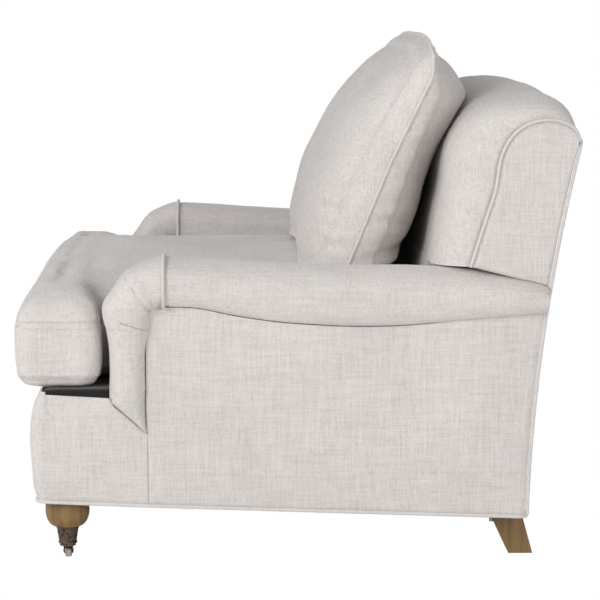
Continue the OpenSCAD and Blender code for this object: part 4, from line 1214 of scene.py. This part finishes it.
def puckers(obj):
    def change(p, n):
        share = shareAt(p)
        toEnd = pillowHalf(share) - abs(p[0])
        toTop = (1 - share) * pillow["height"] * 1.08
        seam = min(toEnd, toTop)
        d = 0.0
        if toTop < toEnd:
            d += gathers(toTop, (p[0], 0, toTop * 0.12), 41)
        else:
            d += gathers(toEnd, (toEnd * 0.12, 0, p[2]), 43)
        d += 2.6 * ripple((p[0] * 0.8, p[1], p[2] * 1.2), 120, 44) * min(1, seam / 60)
        d += 0.7 * ripple(p, 38, 45) * min(1, max(0, seam) / 20)
        d += folds(p, n) * min(1, max(0, seam) / 6)
        return d
    pushed(obj, change)


def backCushionWelt():
    r = welt["radius"]
    ends = []
    for v in np.linspace(0, 1, 90):
        p = pillowPoint(v, 1, 0)
        ends.append((p[0] + r * 0.4, p[1], p[2] + r * 0.4 * v ** 8))
    tops = [pillowPoint(1, u, 0) for u in np.linspace(0.985, 0, 60)]
    tops = [(p[0], p[1], p[2] + r * 0.4) for p in tops]
    near = ends + tops
    route = near + mirrored(reversed(near[:-1]))
    obj = tube("backCushionWelt", rounded(resample(route, 5), 2), r, seed=9, step=5)
    dress(obj, "back_cushion_welt", weltCloth, "back_cushion")


seatStitches(seatCushion())
print("seat cushion made")
backCushion()
backCushionWelt()
print("back cushion made")


# Hidden pads: softened copies of the part's own

def copied(node, name):
    mesh = frame["nodes"][node].data.copy()
    mesh.name = name
    cleaned(mesh, thinEdges=False)
    return newObject(name, mesh)


pad = {"voxel": 7, "soften": 4}


def softCopy(node, name, cloth=liningCloth):
    obj = remeshed(copied(node, name), pad["voxel"], pad["soften"])
    lo, hi = inMillimetres(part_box(node))
    moved(obj, lambda p, n: [clamp(p[k], lo[k], hi[k]) for k in range(3)])
    dress(obj, node, cloth)


# The deck pad is dressed in the near-black painted-shade linen
softCopy("deck_pad", "deckPad", deckShadeCloth)
for side in (1, -1):
    softCopy("inner_arm_" + cadHand(side), "innerArm" + hand(side))
print("hidden pads made")


# Floor, light and camera

white = (1, 1, 1)
studio = {
    "sky": 0.335, "target": (0, 0, 0.45), "floorHalf": 12, "floorZ": -0.0008,
    "areas": {
        "keyLight": ((3.9, -2.8, 2.2), 1.8, 90), "fillLight": ((4.2, 2.2, 1.2), 1.8, 55),
        "topLight": ((0.6, -1.6, 3.2), 2.4, 12), "frontLight": ((0.8, -4.4, 1.9), 2.0, 42),
        "backLight": ((-3.4, 3.4, 1.4), 2.0, 30),
    },
}


def aimed(obj, place, direction, axis):
    # Sets an object down with one of its axes along a direction
    obj.location = place
    obj.rotation_mode = "QUATERNION"
    obj.rotation_quaternion = direction.to_track_quat(axis, "Y")


def lights():
    world = bpy.data.worlds.new("studio")
    bpy.context.scene.world = world
    world.use_nodes = True
    tree = world.node_tree
    back = tree.nodes["Background"]
    fill(tree, back, {"Color": white, "Strength": studio["sky"]})
    bright = addNode(tree, "ShaderNodeBackground", {"Color": white, "Strength": 1.0})
    path = addNode(tree, "ShaderNodeLightPath", {}).outputs
    either = addNode(tree, "ShaderNodeMath", {
        0: path["Is Camera Ray"], 1: path["Is Transmission Ray"]}, operation="MAXIMUM")
    mix = addNode(tree, "ShaderNodeMixShader", {
        0: either.outputs[0], 1: back.outputs[0], 2: bright.outputs[0]})
    fill(tree, tree.nodes["World Output"], {"Surface": mix.outputs[0]})
    for name, (place, size, power) in studio["areas"].items():
        lamp = bpy.data.lights.new(name, "AREA")
        lamp.shape = "RECTANGLE"
        lamp.size = lamp.size_y = size
        lamp.energy = power
        aimed(newObject(name, lamp), place, Vector(place) - Vector(studio["target"]), "Z")


def floor():
    mesh = bpy.data.meshes.new("studioFloor")
    s, z = studio["floorHalf"], studio["floorZ"]
    mesh.from_pydata([(-s, -s, z), (s, -s, z), (s, s, z), (-s, s, z)], [], [(0, 1, 2, 3)])
    obj = newObject("studioFloor", mesh)
    n = Nodes("studioFloor", (0.93, 0.93, 0.93), 0.9)
    glow = n.add("ShaderNodeEmission", {"Color": white, "Strength": 1.0})
    path = n.add("ShaderNodeLightPath", {}).outputs
    shader = n.tree.nodes["Principled BSDF"]
    mix = n.add("ShaderNodeMixShader", {0: path["Is Camera Ray"], 1: shader.outputs[0], 2: glow.outputs[0]})
    fill(n.tree, n.tree.nodes["Material Output"], {"Surface": mix.outputs[0]})
    obj.data.materials.append(n.material)


# The photograph's camera: its focal length in pixels, its turn and dip in degrees and its place
photo = {"focal": 2405.4, "pixels": 600, "sensor": 36, "turn": 1.655, "dip": 6.828,
         "place": (4.660, -0.117, 0.9407)}


def camera():
    data = bpy.data.cameras.new("photoCamera")
    data.lens = photo["sensor"] * photo["focal"] / photo["pixels"]
    data.sensor_width = photo["sensor"]
    data.clip_start, data.clip_end = 0.1, 60
    cam = newObject("photoCamera", data)
    turn, dip = radians(photo["turn"]), radians(photo["dip"])
    look = Vector((-cos(turn) * cos(dip), sin(turn) * cos(dip), -sin(dip)))
    aimed(cam, photo["place"], look, "-Z")
    bpy.context.scene.camera = cam


lights()
floor()
camera()
bpy.context.scene.view_settings.view_transform = "Standard"
print("floor, light and camera made")
